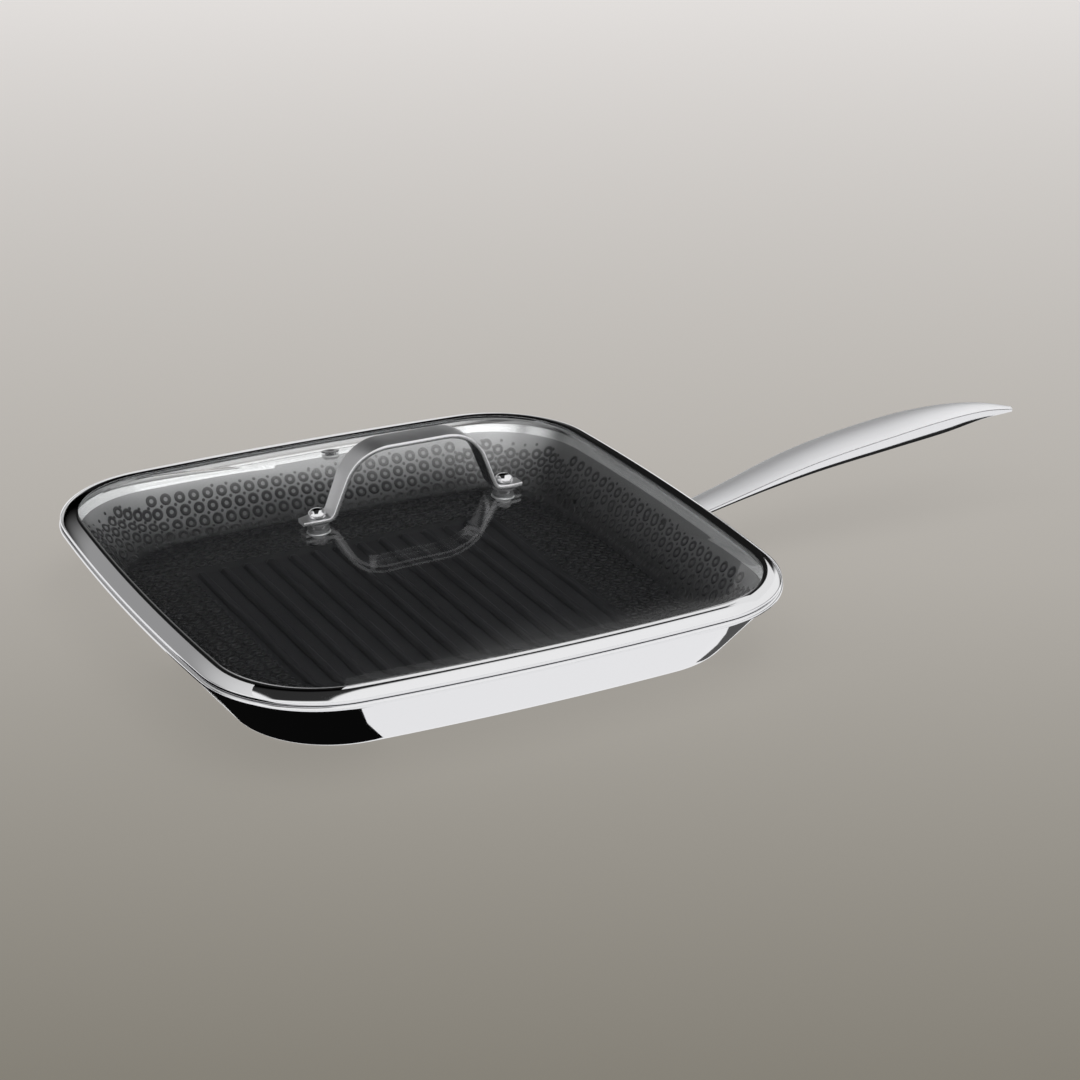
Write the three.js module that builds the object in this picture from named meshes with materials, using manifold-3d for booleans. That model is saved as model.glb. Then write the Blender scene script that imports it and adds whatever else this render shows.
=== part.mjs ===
// Square grill pan with a domed glass lid.
// Millimetres, +Z up. Origin at the middle of the base's underside, +X towards the handle.
import * as THREE from 'three';
import { mergeVertices } from 'three/addons/utils/BufferGeometryUtils.js';
import Module from 'manifold-3d';

const wasm = await Module();
wasm.setup();

// Pan body: steel outside, aluminium core, steel inside
const LIP_HALF = 145; // half width over the lip, at the middle of a side
const BASE_HALF = 115.5; // half width of the flat base
const PAN_HEIGHT = 33.2; // base underside to the top of the lip
const SIDE_RADIUS = 1360; // bow of each side at the lip
const LIP_CORNER = 57; // corner radius at the lip
const BASE_CORNER = 42.5; // corner radius at the base
const BASE_FILLET = 9.5; // outside radius between base and wall
const LIP_FLARE = 1.5; // outside radius where the wall turns out into the lip
const LIP_FLAT = 0.5; // flat of the lip between its flare and its rolled edge
const SKIN = 0.6; // each steel skin
const CORE = 1.2; // aluminium core
const LAYER_GAP = 0.2; // bond line between two layers

// Raised ribs on the pan's floor, running across the handle's direction
const RIB_ZONE = 156; // first rib to last rib
const RIB_PITCH = 12;
const RIB_LENGTH = 154;
const RIB_FOOT = 5; // width at the floor
const RIB_TOP = 2.6; // width at the crest
const RIB_HEIGHT = 1.8;

// Handle: two pressed shells on a bracket. Reach is measured out from the lip's edge, and the height of the
// seam between the shells from the lip's top.
const HANDLE_ROOT = { seam: -14.3, halfWidth: 8.4, crown: 3.6, depth: 3.6 }; // on the pan's wall
const HANDLE_STATIONS = [
  { reach: 20, seam: -6.6, halfWidth: 9.0, crown: 3.6, depth: 3.6 },
  { reach: 71, seam: 6.4, halfWidth: 11.5, crown: 4.7, depth: 7.6 },
  { reach: 122, seam: 13.7, halfWidth: 12.0, crown: 4.9, depth: 9.6 },
  { reach: 155, seam: 15.9, halfWidth: 9.5, crown: 4.1, depth: 9.4 },
  { reach: 181, seam: 14.9, halfWidth: 5.5, crown: 2.6, depth: 5.6 },
  { reach: 201, seam: 11.4, halfWidth: 1.8, crown: 0.9, depth: 1.8 },
];
const HANDLE_SHEET = 1.2; // wall of each shell
const HANDLE_SEAM = 0.3; // open line between the two shells
const HANDLE_SOLID_TIP = 40; // length at the tip that is not hollow
const HANDLE_BOXINESS = 3; // how square the lower shell's section is
const TONGUE_REACH = 26; // how far the bracket's tongue enters the handle
const TONGUE_CLEARANCE = 0.4;
const BRACKET_WIDTH = 34;
const BRACKET_HEIGHT = 17; // along the slope of the wall
const BRACKET_THICKNESS = 2;
const BRACKET_CORNER = 6;
const BRACKET_DROP = 13.2; // lip's top down to the bracket's middle
const WELD_GAP = 0.3; // weld line at the bracket's two faces

// Lid: a steel band around domed glass
const SEAT_GAP = 0.3; // band over the pan's lip
const BAND_INSET = 0.5; // band's outer face inside the lip's edge
const BAND_SHEET = 0.5;
const BAND_TOP = 8.8; // band's crowned top, seen from above
const BAND_ROUND = 0.9; // outside radius of the band's lower edge
const BAND_SHOULDER = 1.2; // outside radius between the band's outer face and its crown
const BAND_CROWN = 9; // outside radius of the crown
const SHOULDER_TURN = Math.PI / 4; // how far the shoulder turns before the crown takes over
const LOCATOR_DEPTH = 2; // band's inner bead below the lip's top
const LOCATOR_CLEARANCE = 1.4; // bead to the pan's inner wall
const GLASS = 3; // glass thickness
const GLASS_GAP = 0.3; // glass in the band's channel
const GLASS_FLAT = 1; // flat glass inside the band before the dome starts
const DOME_RISE = 17.7;
const DOME_POWER = 2.4; // 2 is a parabola; more is flatter in the middle
const DOME_ROUNDING = 0.8; // how near the dome's contours come to circles at its middle

// Lid handle: a bent strap on two screws
const STRAP_WIDTH = 14;
const STRAP = 2.1; // strap thickness
const GRIP_RISE = 34; // strap's top above the glass at the lid's middle
const GRIP_HALF = 29.5; // half length of the grip to the corner of the bend
const GRIP_BEND = 22; // bend radii at the middle of the strap
const FOOT_BEND = 4.5;
const FOOT_REACH = 48; // lid's middle to each screw
const FOOT_HEEL = 6.2; // screw to the corner between foot and leg
const FOOT_TIP = 8.2; // screw to the end of the foot
const GRIP_FULL = 20; // half length of the grip that keeps its full width
const HEEL_HALF = 5.4; // half width of the strap from its heel to the foot's shoulder
const FOOT_TIP_HALF = 3.4; // half width of the foot's tapered end
const FOOT_SHOULDER = 0.5; // screw to where the taper starts

// Fasteners, along the glass's normal at each foot
const STACK_GAP = 0.3; // between any two pieces in the stack
const SCREW_RADIUS = 2;
const SCREW_CLEARANCE = 0.3;
const SCREW_HEAD_RADIUS = 3.9;
const SCREW_HEAD = 2;
const SCREW_FACE_RADIUS = 2.7; // flat end of the screw's head
const SCREW_BEVEL = 1; // height of the bevel around that end
const DRIVE_LENGTH = 4.4; // cross recess in the screw head
const DRIVE_WIDTH = 0.9;
const DRIVE_DEPTH = 1.1;
const CAP_RADIUS = 4.2;
const CAP_RIM = 1.2; // straight rim below the cap nut's dome
const CAP_DOME = 2.6;
const CAP_CROWN = 1.2; // metal left over the screw's end
const THREAD_END_CLEARANCE = 0.4;
const GASKET = 1.1;
const GASKET_RADIUS = 5.2;
const SLEEVE_WALL = 0.7; // lower gasket's sleeve through the glass
const SLEEVE_SHORT = 0.5; // sleeve ends below the glass's top
const WASHER = 0.8;
const WASHER_RADIUS = 5.6;

// Steam vent in the glass, on the far side
const VENT_REACH = 96;
const VENT_BORE = 1.9; // radius
const VENT_WALL = 0.6;
const VENT_FLANGE = 4.5; // radius of the flange and of the ring below
const VENT_SHEET = 0.7;
const VENT_RING = 0.8;
const VENT_CLINCH = 0.6; // how far the tube's end spreads over the ring
const VENT_CLEARANCE = 0.3;

// Fineness of the facets
const SIDE_STEPS = 4;
const CORNER_STEPS = 6;
const FILLET_STEPS = 3;
const FLARE_STEPS = 2;
const EDGE_STEPS = 4;
const CROWN_STEPS = 4;
const DOME_STEPS = 7;
const TURN_STEPS = 18;
const BEND_STEPS = 5;
const HANDLE_STEPS = 16;
const SECTION_STEPS = 8;
const WELD_TOLERANCE = 1e-4; // corners nearer than this are one

// Values worked out from the sizes above
const WALL = 2 * SKIN + CORE + 2 * LAYER_GAP;
const EDGE_RADIUS = WALL / 2;
const FILLET_CENTRE = new THREE.Vector2(BASE_HALF, BASE_FILLET);
const FLARE_CENTRE = new THREE.Vector2(LIP_HALF - EDGE_RADIUS - LIP_FLAT, PAN_HEIGHT - WALL - LIP_FLARE);
const EDGE_CENTRE = new THREE.Vector2(LIP_HALF - EDGE_RADIUS, PAN_HEIGHT - EDGE_RADIUS);
const WALL_LEAN = leanBetween(FILLET_CENTRE, BASE_FILLET, FLARE_CENTRE, LIP_FLARE);
const BRACKET_LEVEL = PAN_HEIGHT - BRACKET_DROP;

// Angle of the wall from the vertical: the line that touches the fillet outside and the flare inside
function leanBetween(lower, lowerRadius, upper, upperRadius) {
  const across = upper.x - lower.x;
  const up = upper.y - lower.y;
  return Math.atan2(across, up) - Math.asin((lowerRadius + upperRadius) / Math.hypot(across, up));
}

// Half width of the wall's straight stretch at a height, at a depth into its thickness
function wallHalf(z, depth) {
  const radius = BASE_FILLET - depth;
  const foot = FILLET_CENTRE.x + radius * Math.cos(WALL_LEAN);
  const level = FILLET_CENTRE.y - radius * Math.sin(WALL_LEAN);
  return foot + (z - level) * Math.tan(WALL_LEAN);
}

// Geometry helpers

// One welded body: shared corners merged, flat triangles dropped, faces pointing out
function weld(geometry) {
  const bare = geometry.clone();
  bare.deleteAttribute('normal');
  bare.deleteAttribute('uv');
  const merged = mergeVertices(bare, WELD_TOLERANCE);
  const index = [];
  const source = merged.index.array;
  for (let i = 0; i < source.length; i += 3) {
    const [a, b, c] = [source[i], source[i + 1], source[i + 2]];
    if (a !== b && b !== c && c !== a) {
      index.push(a, b, c);
    }
  }
  merged.setIndex(volumeOf(merged.attributes.position, index) < 0 ? index.reverse() : index);
  return merged;
}

function volumeOf(position, index) {
  const [a, b, c] = [new THREE.Vector3(), new THREE.Vector3(), new THREE.Vector3()];
  let six = 0;
  for (let i = 0; i < index.length; i += 3) {
    a.fromBufferAttribute(position, index[i]);
    b.fromBufferAttribute(position, index[i + 1]);
    c.fromBufferAttribute(position, index[i + 2]);
    six += a.dot(b.cross(c));
  }
  return six / 6;
}

function toSolid(geometry) {
  const body = weld(geometry);
  return new wasm.Manifold(new wasm.Mesh({
    numProp: 3,
    vertProperties: new Float32Array(body.attributes.position.array),
    triVerts: new Uint32Array(body.index.array),
  }));
}

function fromSolid(solid) {
  const mesh = solid.getMesh();
  const geometry = new THREE.BufferGeometry();
  geometry.setAttribute('position', new THREE.BufferAttribute(new Float32Array(mesh.vertProperties), 3));
  geometry.setIndex(new THREE.BufferAttribute(new Uint32Array(mesh.triVerts), 1));
  return geometry;
}

// Skin over rings of equal length: a closed loop of rings, or capped at both ends by a fan
function loft(rings, looped = false) {
  const count = rings[0].length;
  const points = rings.flat();
  const index = [];
  const spans = looped ? rings.length : rings.length - 1;
  for (let r = 0; r < spans; r += 1) {
    const low = r * count;
    const high = ((r + 1) % rings.length) * count;
    for (let i = 0; i < count; i += 1) {
      const j = (i + 1) % count;
      index.push(low + i, low + j, high + j, low + i, high + j, high + i);
    }
  }
  if (!looped) {
    addFan(points, index, 0, count, true);
    addFan(points, index, (rings.length - 1) * count, count, false);
  }
  const geometry = new THREE.BufferGeometry().setFromPoints(points);
  geometry.setIndex(index);
  return weld(geometry);
}

function addFan(points, index, start, count, reversed) {
  const middle = new THREE.Vector3();
  for (let i = 0; i < count; i += 1) {
    middle.addScaledVector(points[start + i], 1 / count);
  }
  const hub = points.push(middle) - 1;
  for (let i = 0; i < count; i += 1) {
    const [a, b] = [start + i, start + ((i + 1) % count)];
    index.push(hub, ...(reversed ? [b, a] : [a, b]));
  }
}

// Square with bowed sides and round corners, at one height
function bowedSquare(half, sideRadius, corner, z) {
  const sideCentre = half - sideRadius;
  const reach = sideRadius - corner;
  const cornerCentre = (sideCentre + Math.sqrt(2 * reach * reach - sideCentre * sideCentre)) / 2;
  const meet = Math.atan2(cornerCentre, cornerCentre - sideCentre);
  const quarter = [];
  for (let i = 0; i < SIDE_STEPS; i += 1) {
    const turn = meet * ((2 * i) / SIDE_STEPS - 1);
    quarter.push([sideCentre + sideRadius * Math.cos(turn), sideRadius * Math.sin(turn)]);
  }
  for (let i = 0; i < CORNER_STEPS; i += 1) {
    const turn = meet + (Math.PI / 2 - 2 * meet) * (i / CORNER_STEPS);
    quarter.push([cornerCentre + corner * Math.cos(turn), cornerCentre + corner * Math.sin(turn)]);
  }
  const ring = [];
  for (let side = 0; side < 4; side += 1) {
    for (const [x, y] of quarter) {
      ring.push(new THREE.Vector3(x, y, z).applyAxisAngle(new THREE.Vector3(0, 0, 1), (side * Math.PI) / 2));
    }
  }
  return ring;
}

// Ring that runs parallel to the lip's edge, at its own half width
function lipParallel(half, z) {
  const inset = LIP_HALF - half;
  return bowedSquare(half, SIDE_RADIUS - inset, LIP_CORNER - inset, z);
}

// Points of an arc about a centre, in a profile's plane
function arcPoints(centre, radius, from, to, steps) {
  const points = [];
  for (let i = 0; i <= steps; i += 1) {
    const turn = from + (to - from) * (i / steps);
    points.push(new THREE.Vector2(centre.x + radius * Math.cos(turn), centre.y + radius * Math.sin(turn)));
  }
  return points;
}

// Solid of revolution about Z from [radius, height] pairs
function turned(pairs) {
  const profile = pairs.map(([radius, height]) => new THREE.Vector2(radius, height));
  return weld(new THREE.LatheGeometry(profile, TURN_STEPS).rotateX(Math.PI / 2));
}

function ringOf(inner, outer, low, high) {
  return turned([[inner, low], [outer, low], [outer, high], [inner, high], [inner, low]]);
}

function rod(radius, low, high) {
  return turned([[0, low], [radius, low], [radius, high], [0, high]]);
}

// Pan layers

// Outer surface from the base's edge up to the lip, each point with the inward normal there
function wallStations() {
  const stations = [];
  const wallTurn = Math.PI / 2 - WALL_LEAN;
  for (let i = 0; i <= FILLET_STEPS; i += 1) {
    const turn = wallTurn * (i / FILLET_STEPS);
    const inward = new THREE.Vector2(-Math.sin(turn), Math.cos(turn));
    stations.push({ point: FILLET_CENTRE.clone().addScaledVector(inward, -BASE_FILLET), inward });
  }
  for (let i = 0; i <= FLARE_STEPS; i += 1) {
    const turn = wallTurn * (1 - i / FLARE_STEPS);
    const inward = new THREE.Vector2(-Math.sin(turn), Math.cos(turn));
    stations.push({ point: FLARE_CENTRE.clone().addScaledVector(inward, LIP_FLARE), inward });
  }
  return stations;
}

// The wall's rings at one depth into its thickness, base to lip
function wallRings(depth) {
  return wallStations().map(({ point, inward }) => {
    const share = (point.x - BASE_HALF) / (EDGE_CENTRE.x - BASE_HALF);
    const edgeCorner = LIP_CORNER - EDGE_RADIUS;
    const shift = depth * inward.x;
    const corner = BASE_CORNER + (edgeCorner - BASE_CORNER) * share + shift;
    const sideRadius = SIDE_RADIUS - (LIP_HALF - point.x) + shift;
    return bowedSquare(point.x + shift, sideRadius, corner, point.y + depth * inward.y);
  });
}

// The lip's rolled edge at one radius, from below to above
function edgeRings(radius) {
  const arc = arcPoints(EDGE_CENTRE, radius, -Math.PI / 2, Math.PI / 2, EDGE_STEPS);
  return arc.map((point) => lipParallel(point.x, point.y));
}

function makeOuterSkin() {
  const outside = [...wallRings(0), ...edgeRings(EDGE_RADIUS)];
  const inside = [...wallRings(SKIN), ...edgeRings(EDGE_RADIUS - SKIN)];
  return loft([...outside, ...inside.reverse()]);
}

function makeCore() {
  const low = SKIN + LAYER_GAP;
  const rolled = edgeRings(CORE / 2);
  return loft([...wallRings(low), ...rolled, ...wallRings(low + CORE).reverse()]);
}

function makeRib(x) {
  const sunk = SKIN / 2;
  const rib = new THREE.BoxGeometry(1, 1, 1);
  const position = rib.attributes.position;
  for (let i = 0; i < position.count; i += 1) {
    const crest = position.getZ(i) > 0;
    const width = crest ? RIB_TOP : RIB_FOOT;
    const length = crest ? RIB_LENGTH - (RIB_FOOT - RIB_TOP) : RIB_LENGTH;
    const z = crest ? WALL + RIB_HEIGHT : WALL - sunk;
    position.setXYZ(i, x + position.getX(i) * width, position.getY(i) * length, z);
  }
  return rib;
}

function makeInnerSkin() {
  const ledge = EDGE_CENTRE.x - LAYER_GAP;
  const outside = [...wallRings(WALL - SKIN), lipParallel(ledge, PAN_HEIGHT - SKIN)];
  const inside = [...wallRings(WALL), lipParallel(ledge, PAN_HEIGHT)];
  let skin = toSolid(loft([...outside, ...inside.reverse()]));
  const gaps = Math.round(RIB_ZONE / RIB_PITCH);
  for (let i = 0; i <= gaps; i += 1) {
    skin = skin.add(toSolid(makeRib((i - gaps / 2) * RIB_PITCH)));
  }
  return fromSolid(skin);
}

// Handle

const ROOT_REACH = wallHalf(PAN_HEIGHT + HANDLE_ROOT.seam, 0) - LIP_HALF;
const STATIONS = [{ ...HANDLE_ROOT, reach: ROOT_REACH }, ...HANDLE_STATIONS];
const HANDLE_START = ROOT_REACH - HANDLE_ROOT.crown - HANDLE_ROOT.depth; // inside the wall, to be cut back
const HANDLE_TIP = STATIONS[STATIONS.length - 1].reach;

// Smooth value of one station size at a reach, straight before the first station
function stationValue(reach, name) {
  const last = STATIONS.length - 1;
  let i = 0;
  while (i < last - 1 && reach > STATIONS[i + 1].reach) {
    i += 1;
  }
  const [a, b] = [STATIONS[i], STATIONS[i + 1]];
  const before = STATIONS[Math.max(i - 1, 0)];
  const after = STATIONS[Math.min(i + 2, last)];
  const span = b.reach - a.reach;
  const slopeA = ((b[name] - before[name]) / (b.reach - before.reach)) * span;
  const slopeB = ((after[name] - a[name]) / (after.reach - a.reach)) * span;
  const t = (reach - a.reach) / span;
  if (t < 0) {
    return a[name] + slopeA * t;
  }
  const rise = t * t * (3 - 2 * t);
  return a[name] + (b[name] - a[name]) * rise + slopeA * t * (1 - t) * (1 - t) - slopeB * t * t * (1 - t);
}

// Half of the handle's section as a closed ring: the crowned top (side 1) or the boxy underside (side -1).
// Past is how far the ring reaches straight over the seam, for hollows and for the tongue.
function handleSection(reach, inset, side, past) {
  const width = stationValue(reach, 'halfWidth') - inset;
  const seam = PAN_HEIGHT + stationValue(reach, 'seam');
  const tall = stationValue(reach, side > 0 ? 'crown' : 'depth') - inset;
  const edge = HANDLE_SEAM / 2;
  const place = (y, level) => new THREE.Vector3(LIP_HALF + reach, y, seam + side * level);
  const ring = [];
  for (let i = 0; i <= SECTION_STEPS; i += 1) {
    const turn = Math.PI * (i / SECTION_STEPS);
    const [across, up] = [Math.cos(turn), Math.sin(turn)];
    const square = 2 / HANDLE_BOXINESS;
    const y = side > 0 ? across : Math.sign(across) * Math.abs(across) ** square;
    const share = side > 0 ? 1 - across * across : Math.abs(up) ** square;
    ring.push(place(width * y, edge + (tall - edge) * share));
  }
  if (past > 0) {
    ring.push(place(-width, -past), place(width, -past));
  }
  return ring;
}

function handleLoft(inset, side, from, to, past = 0) {
  const rings = [];
  for (let i = 0; i <= HANDLE_STEPS; i += 1) {
    rings.push(handleSection(from + (to - from) * (i / HANDLE_STEPS), inset, side, past));
  }
  return toSolid(loft(rings));
}

// Frame on the pan's wall under the handle: X across, Y up the slope, Z out of the wall
function wallFrame() {
  const across = new THREE.Vector3(0, 1, 0);
  const up = new THREE.Vector3(Math.sin(WALL_LEAN), 0, Math.cos(WALL_LEAN));
  const out = new THREE.Vector3(Math.cos(WALL_LEAN), 0, -Math.sin(WALL_LEAN));
  return new THREE.Matrix4().makeBasis(across, up, out).setPosition(wallHalf(BRACKET_LEVEL, 0), 0, BRACKET_LEVEL);
}

// Everything nearer to the wall than a distance, as a block to cut away
function insideOfWall(distance) {
  const size = 4 * BRACKET_WIDTH;
  const block = new THREE.BoxGeometry(size, size, size).translate(0, 0, distance - size / 2);
  return toSolid(block.applyMatrix4(wallFrame()));
}

function makeHandleShell(side) {
  const hollowEnd = HANDLE_TIP - HANDLE_SOLID_TIP;
  const before = HANDLE_START - HANDLE_SHEET;
  const hollow = handleLoft(HANDLE_SHEET, side, before, hollowEnd, HANDLE_SHEET);
  const rootFace = WELD_GAP + BRACKET_THICKNESS + WELD_GAP;
  const shell = handleLoft(0, side, HANDLE_START, HANDLE_TIP).subtract(hollow);
  return fromSolid(shell.subtract(insideOfWall(rootFace)));
}

function makeBracket() {
  const plate = toSolid(roundedPlate(BRACKET_WIDTH, BRACKET_HEIGHT, BRACKET_CORNER, BRACKET_THICKNESS)
    .translate(0, 0, WELD_GAP).applyMatrix4(wallFrame()));
  const inset = HANDLE_SHEET + TONGUE_CLEARANCE;
  const upper = handleLoft(inset, 1, HANDLE_START, TONGUE_REACH, HANDLE_SEAM);
  const lower = handleLoft(inset, -1, HANDLE_START, TONGUE_REACH, HANDLE_SEAM);
  const tongue = upper.add(lower).subtract(insideOfWall(WELD_GAP + BRACKET_THICKNESS / 2));
  return fromSolid(plate.add(tongue));
}

function roundedPlate(width, height, corner, thickness) {
  const [x, y] = [width / 2 - corner, height / 2 - corner];
  const outline = new THREE.Shape();
  outline.absarc(x, y, corner, 0, Math.PI / 2);
  outline.absarc(-x, y, corner, Math.PI / 2, Math.PI);
  outline.absarc(-x, -y, corner, Math.PI, Math.PI * 1.5);
  outline.absarc(x, -y, corner, Math.PI * 1.5, Math.PI * 2);
  return new THREE.ExtrudeGeometry(outline, { depth: thickness, bevelEnabled: false, curveSegments: BEND_STEPS });
}

// Lid

const BAND_HALF = LIP_HALF - BAND_INSET;
const BAND_LOW = PAN_HEIGHT + SEAT_GAP;
const GLASS_LOW = BAND_LOW + BAND_SHEET + GLASS_GAP;
const GLASS_HIGH = GLASS_LOW + GLASS;
const BAND_INNER = BAND_HALF - BAND_TOP;
const DOME_HALF = BAND_INNER - GLASS_FLAT;
const CROWN_CENTRE = crownCentre();
const GLASS_HALF = CROWN_CENTRE.x + legOf(BAND_CROWN - BAND_SHEET - GLASS_GAP, GLASS_HIGH - CROWN_CENTRE.y);

// Second leg of a right triangle
function legOf(hypotenuse, leg) {
  return Math.sqrt(hypotenuse * hypotenuse - leg * leg);
}

// Centre of the crown's arc, so that its underside clears the glass at the band's inner edge
function crownCentre() {
  const across = (BAND_CROWN - BAND_SHOULDER) * Math.cos(SHOULDER_TURN);
  const x = BAND_HALF - BAND_SHOULDER - across;
  return new THREE.Vector2(x, GLASS_HIGH + GLASS_GAP - legOf(BAND_CROWN - BAND_SHEET, x - BAND_INNER));
}

// Shoulder and crown of the band at one depth into its sheet, from the outer face to the inner edge
function bandTop(depth) {
  const spread = BAND_CROWN - BAND_SHOULDER;
  const shoulder = CROWN_CENTRE.clone()
    .add(new THREE.Vector2(spread * Math.cos(SHOULDER_TURN), spread * Math.sin(SHOULDER_TURN)));
  const end = Math.acos((BAND_INNER - CROWN_CENTRE.x) / (BAND_CROWN - depth));
  return [
    ...arcPoints(shoulder, BAND_SHOULDER - depth, 0, SHOULDER_TURN, FLARE_STEPS),
    ...arcPoints(CROWN_CENTRE, BAND_CROWN - depth, SHOULDER_TURN, end, CROWN_STEPS).slice(1),
  ];
}

function makeBand() {
  const locatorLow = BAND_LOW - LOCATOR_DEPTH;
  const locatorOuter = wallHalf(locatorLow, WALL) - LOCATOR_CLEARANCE;
  const round = BAND_HALF - BAND_ROUND;
  const channel = BAND_HALF - BAND_SHEET;
  const profile = [
    ...arcPoints(new THREE.Vector2(round, BAND_LOW + BAND_ROUND), BAND_ROUND, -Math.PI / 2, 0, FLARE_STEPS),
    ...bandTop(0),
    ...bandTop(BAND_SHEET).reverse(),
    new THREE.Vector2(channel, BAND_LOW + BAND_SHEET),
    new THREE.Vector2(locatorOuter - BAND_SHEET, BAND_LOW + BAND_SHEET),
    new THREE.Vector2(locatorOuter - BAND_SHEET, locatorLow),
    new THREE.Vector2(locatorOuter, locatorLow),
    new THREE.Vector2(locatorOuter, BAND_LOW),
  ];
  return loft(profile.map((point) => lipParallel(point.x, point.y)), true);
}

function domeHeight(reach) {
  return GLASS_HIGH + DOME_RISE * (1 - (reach / DOME_HALF) ** DOME_POWER);
}

function domeTilt(reach) {
  const slope = (DOME_RISE * DOME_POWER * (reach / DOME_HALF) ** (DOME_POWER - 1)) / DOME_HALF;
  return Math.atan(slope);
}

// Frame on the glass's top: Z along its normal, placed along the heading from the lid's middle
function glassFrame(reach, heading) {
  const turn = new THREE.Matrix4().makeRotationZ(heading);
  const tilt = new THREE.Matrix4().makeRotationY(domeTilt(reach));
  const place = new THREE.Matrix4().makeTranslation(reach, 0, domeHeight(reach));
  return turn.multiply(place).multiply(tilt);
}

const FEET = { left: glassFrame(FOOT_REACH, Math.PI), right: glassFrame(FOOT_REACH, 0) };
const VENT = glassFrame(VENT_REACH, Math.PI / 2);

// Heights along the stack's axis, zero at the glass's top
const PAD_LOW = STACK_GAP;
const PAD_HIGH = PAD_LOW + GASKET;
const FOOT_LOW = PAD_HIGH + STACK_GAP;
const FOOT_HIGH = FOOT_LOW + STRAP;
const CAP_LOW = FOOT_HIGH + STACK_GAP;
const CAP_HIGH = CAP_LOW + CAP_RIM + CAP_DOME;
const LOWER_PAD_HIGH = -GLASS - STACK_GAP;
const LOWER_PAD_LOW = LOWER_PAD_HIGH - GASKET;
const WASHER_HIGH = LOWER_PAD_LOW - STACK_GAP;
const WASHER_LOW = WASHER_HIGH - WASHER;
const HEAD_HIGH = WASHER_LOW - STACK_GAP;
const HEAD_LOW = HEAD_HIGH - SCREW_HEAD;
const SCREW_HOLE = SCREW_RADIUS + SCREW_CLEARANCE;
const SLEEVE_RADIUS = SCREW_HOLE + SLEEVE_WALL;
const GLASS_HOLE = SLEEVE_RADIUS + STACK_GAP;
const VENT_TUBE = VENT_BORE + VENT_WALL;
const VENT_HOLE = VENT_TUBE + VENT_CLEARANCE;

function domeRing(share, drop) {
  const inset = LIP_HALF - DOME_HALF;
  const z = domeHeight(share * DOME_HALF) - drop;
  const rimCorner = LIP_CORNER - inset;
  const corner = rimCorner + (DOME_HALF - rimCorner) * DOME_ROUNDING * (1 - share * share);
  return bowedSquare(DOME_HALF * share, (SIDE_RADIUS - inset) * share, corner * share, z);
}

function makeGlass() {
  const top = [];
  const bottom = [];
  for (let i = 1; i <= DOME_STEPS; i += 1) {
    top.push(domeRing(i / DOME_STEPS, 0));
    bottom.push(domeRing(i / DOME_STEPS, GLASS));
  }
  top.push(lipParallel(GLASS_HALF, GLASS_HIGH));
  bottom.push(lipParallel(GLASS_HALF, GLASS_LOW));
  let glass = toSolid(loft([...bottom, ...top.reverse()]));
  const through = 2 * GLASS;
  for (const [frame, radius] of [[FEET.left, GLASS_HOLE], [FEET.right, GLASS_HOLE], [VENT, VENT_HOLE]]) {
    glass = glass.subtract(toSolid(rod(radius, -through, through).applyMatrix4(frame)));
  }
  return fromSolid(glass);
}

// Lid handle

// Outline of a bent strip: a centre line with a bend at each inner corner, given a thickness
function bentStrip(corners, radii, thickness) {
  const side = (offset) => {
    const points = [];
    corners.forEach((corner, i) => {
      const before = corners[Math.max(i - 1, 0)];
      const after = corners[Math.min(i + 1, corners.length - 1)];
      const into = i > 0 ? corner.clone().sub(before).normalize() : after.clone().sub(corner).normalize();
      const left = new THREE.Vector2(-into.y, into.x);
      if (i === 0 || i === corners.length - 1) {
        points.push(corner.clone().addScaledVector(left, offset));
        return;
      }
      const out = after.clone().sub(corner).normalize();
      const turn = Math.atan2(into.cross(out), into.dot(out));
      const radius = radii[i - 1];
      const start = corner.clone().addScaledVector(into, -radius * Math.tan(Math.abs(turn) / 2));
      const centre = start.clone().addScaledVector(left, radius * Math.sign(turn));
      const first = start.clone().addScaledVector(left, offset);
      for (let step = 0; step <= BEND_STEPS; step += 1) {
        points.push(first.clone().rotateAround(centre, turn * (step / BEND_STEPS)));
      }
    });
    return points;
  };
  return new THREE.Shape([...side(thickness / 2), ...side(-thickness / 2).reverse()]);
}

function makeStrap() {
  const tilt = domeTilt(FOOT_REACH);
  const outward = new THREE.Vector2(Math.cos(tilt), -Math.sin(tilt));
  const normal = new THREE.Vector2(Math.sin(tilt), Math.cos(tilt));
  const middle = (FOOT_LOW + FOOT_HIGH) / 2;
  const screw = new THREE.Vector2(FOOT_REACH, domeHeight(FOOT_REACH)).addScaledVector(normal, middle);
  const tip = screw.clone().addScaledVector(outward, FOOT_TIP);
  const ankle = screw.clone().addScaledVector(outward, -FOOT_HEEL);
  const knee = new THREE.Vector2(GRIP_HALF, domeHeight(0) + GRIP_RISE - STRAP / 2);
  const half = [tip, ankle, knee];
  const mirrored = half.map((point) => new THREE.Vector2(-point.x, point.y)).reverse();
  const radii = [FOOT_BEND, GRIP_BEND, GRIP_BEND, FOOT_BEND];
  const outline = bentStrip([...half, ...mirrored], radii, STRAP);
  const blank = new THREE.ExtrudeGeometry(outline, { depth: STRAP_WIDTH, bevelEnabled: false });
  let strap = toSolid(blank.rotateX(Math.PI / 2).translate(0, STRAP_WIDTH / 2, 0));
  strap = strap.intersect(toSolid(strapPlan(tip.x + STRAP)));
  const through = 2 * (FOOT_HIGH + STRAP);
  for (const frame of Object.values(FEET)) {
    strap = strap.subtract(toSolid(rod(SCREW_HOLE, 0, through).applyMatrix4(frame)));
  }
  return fromSolid(strap);
}

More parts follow.
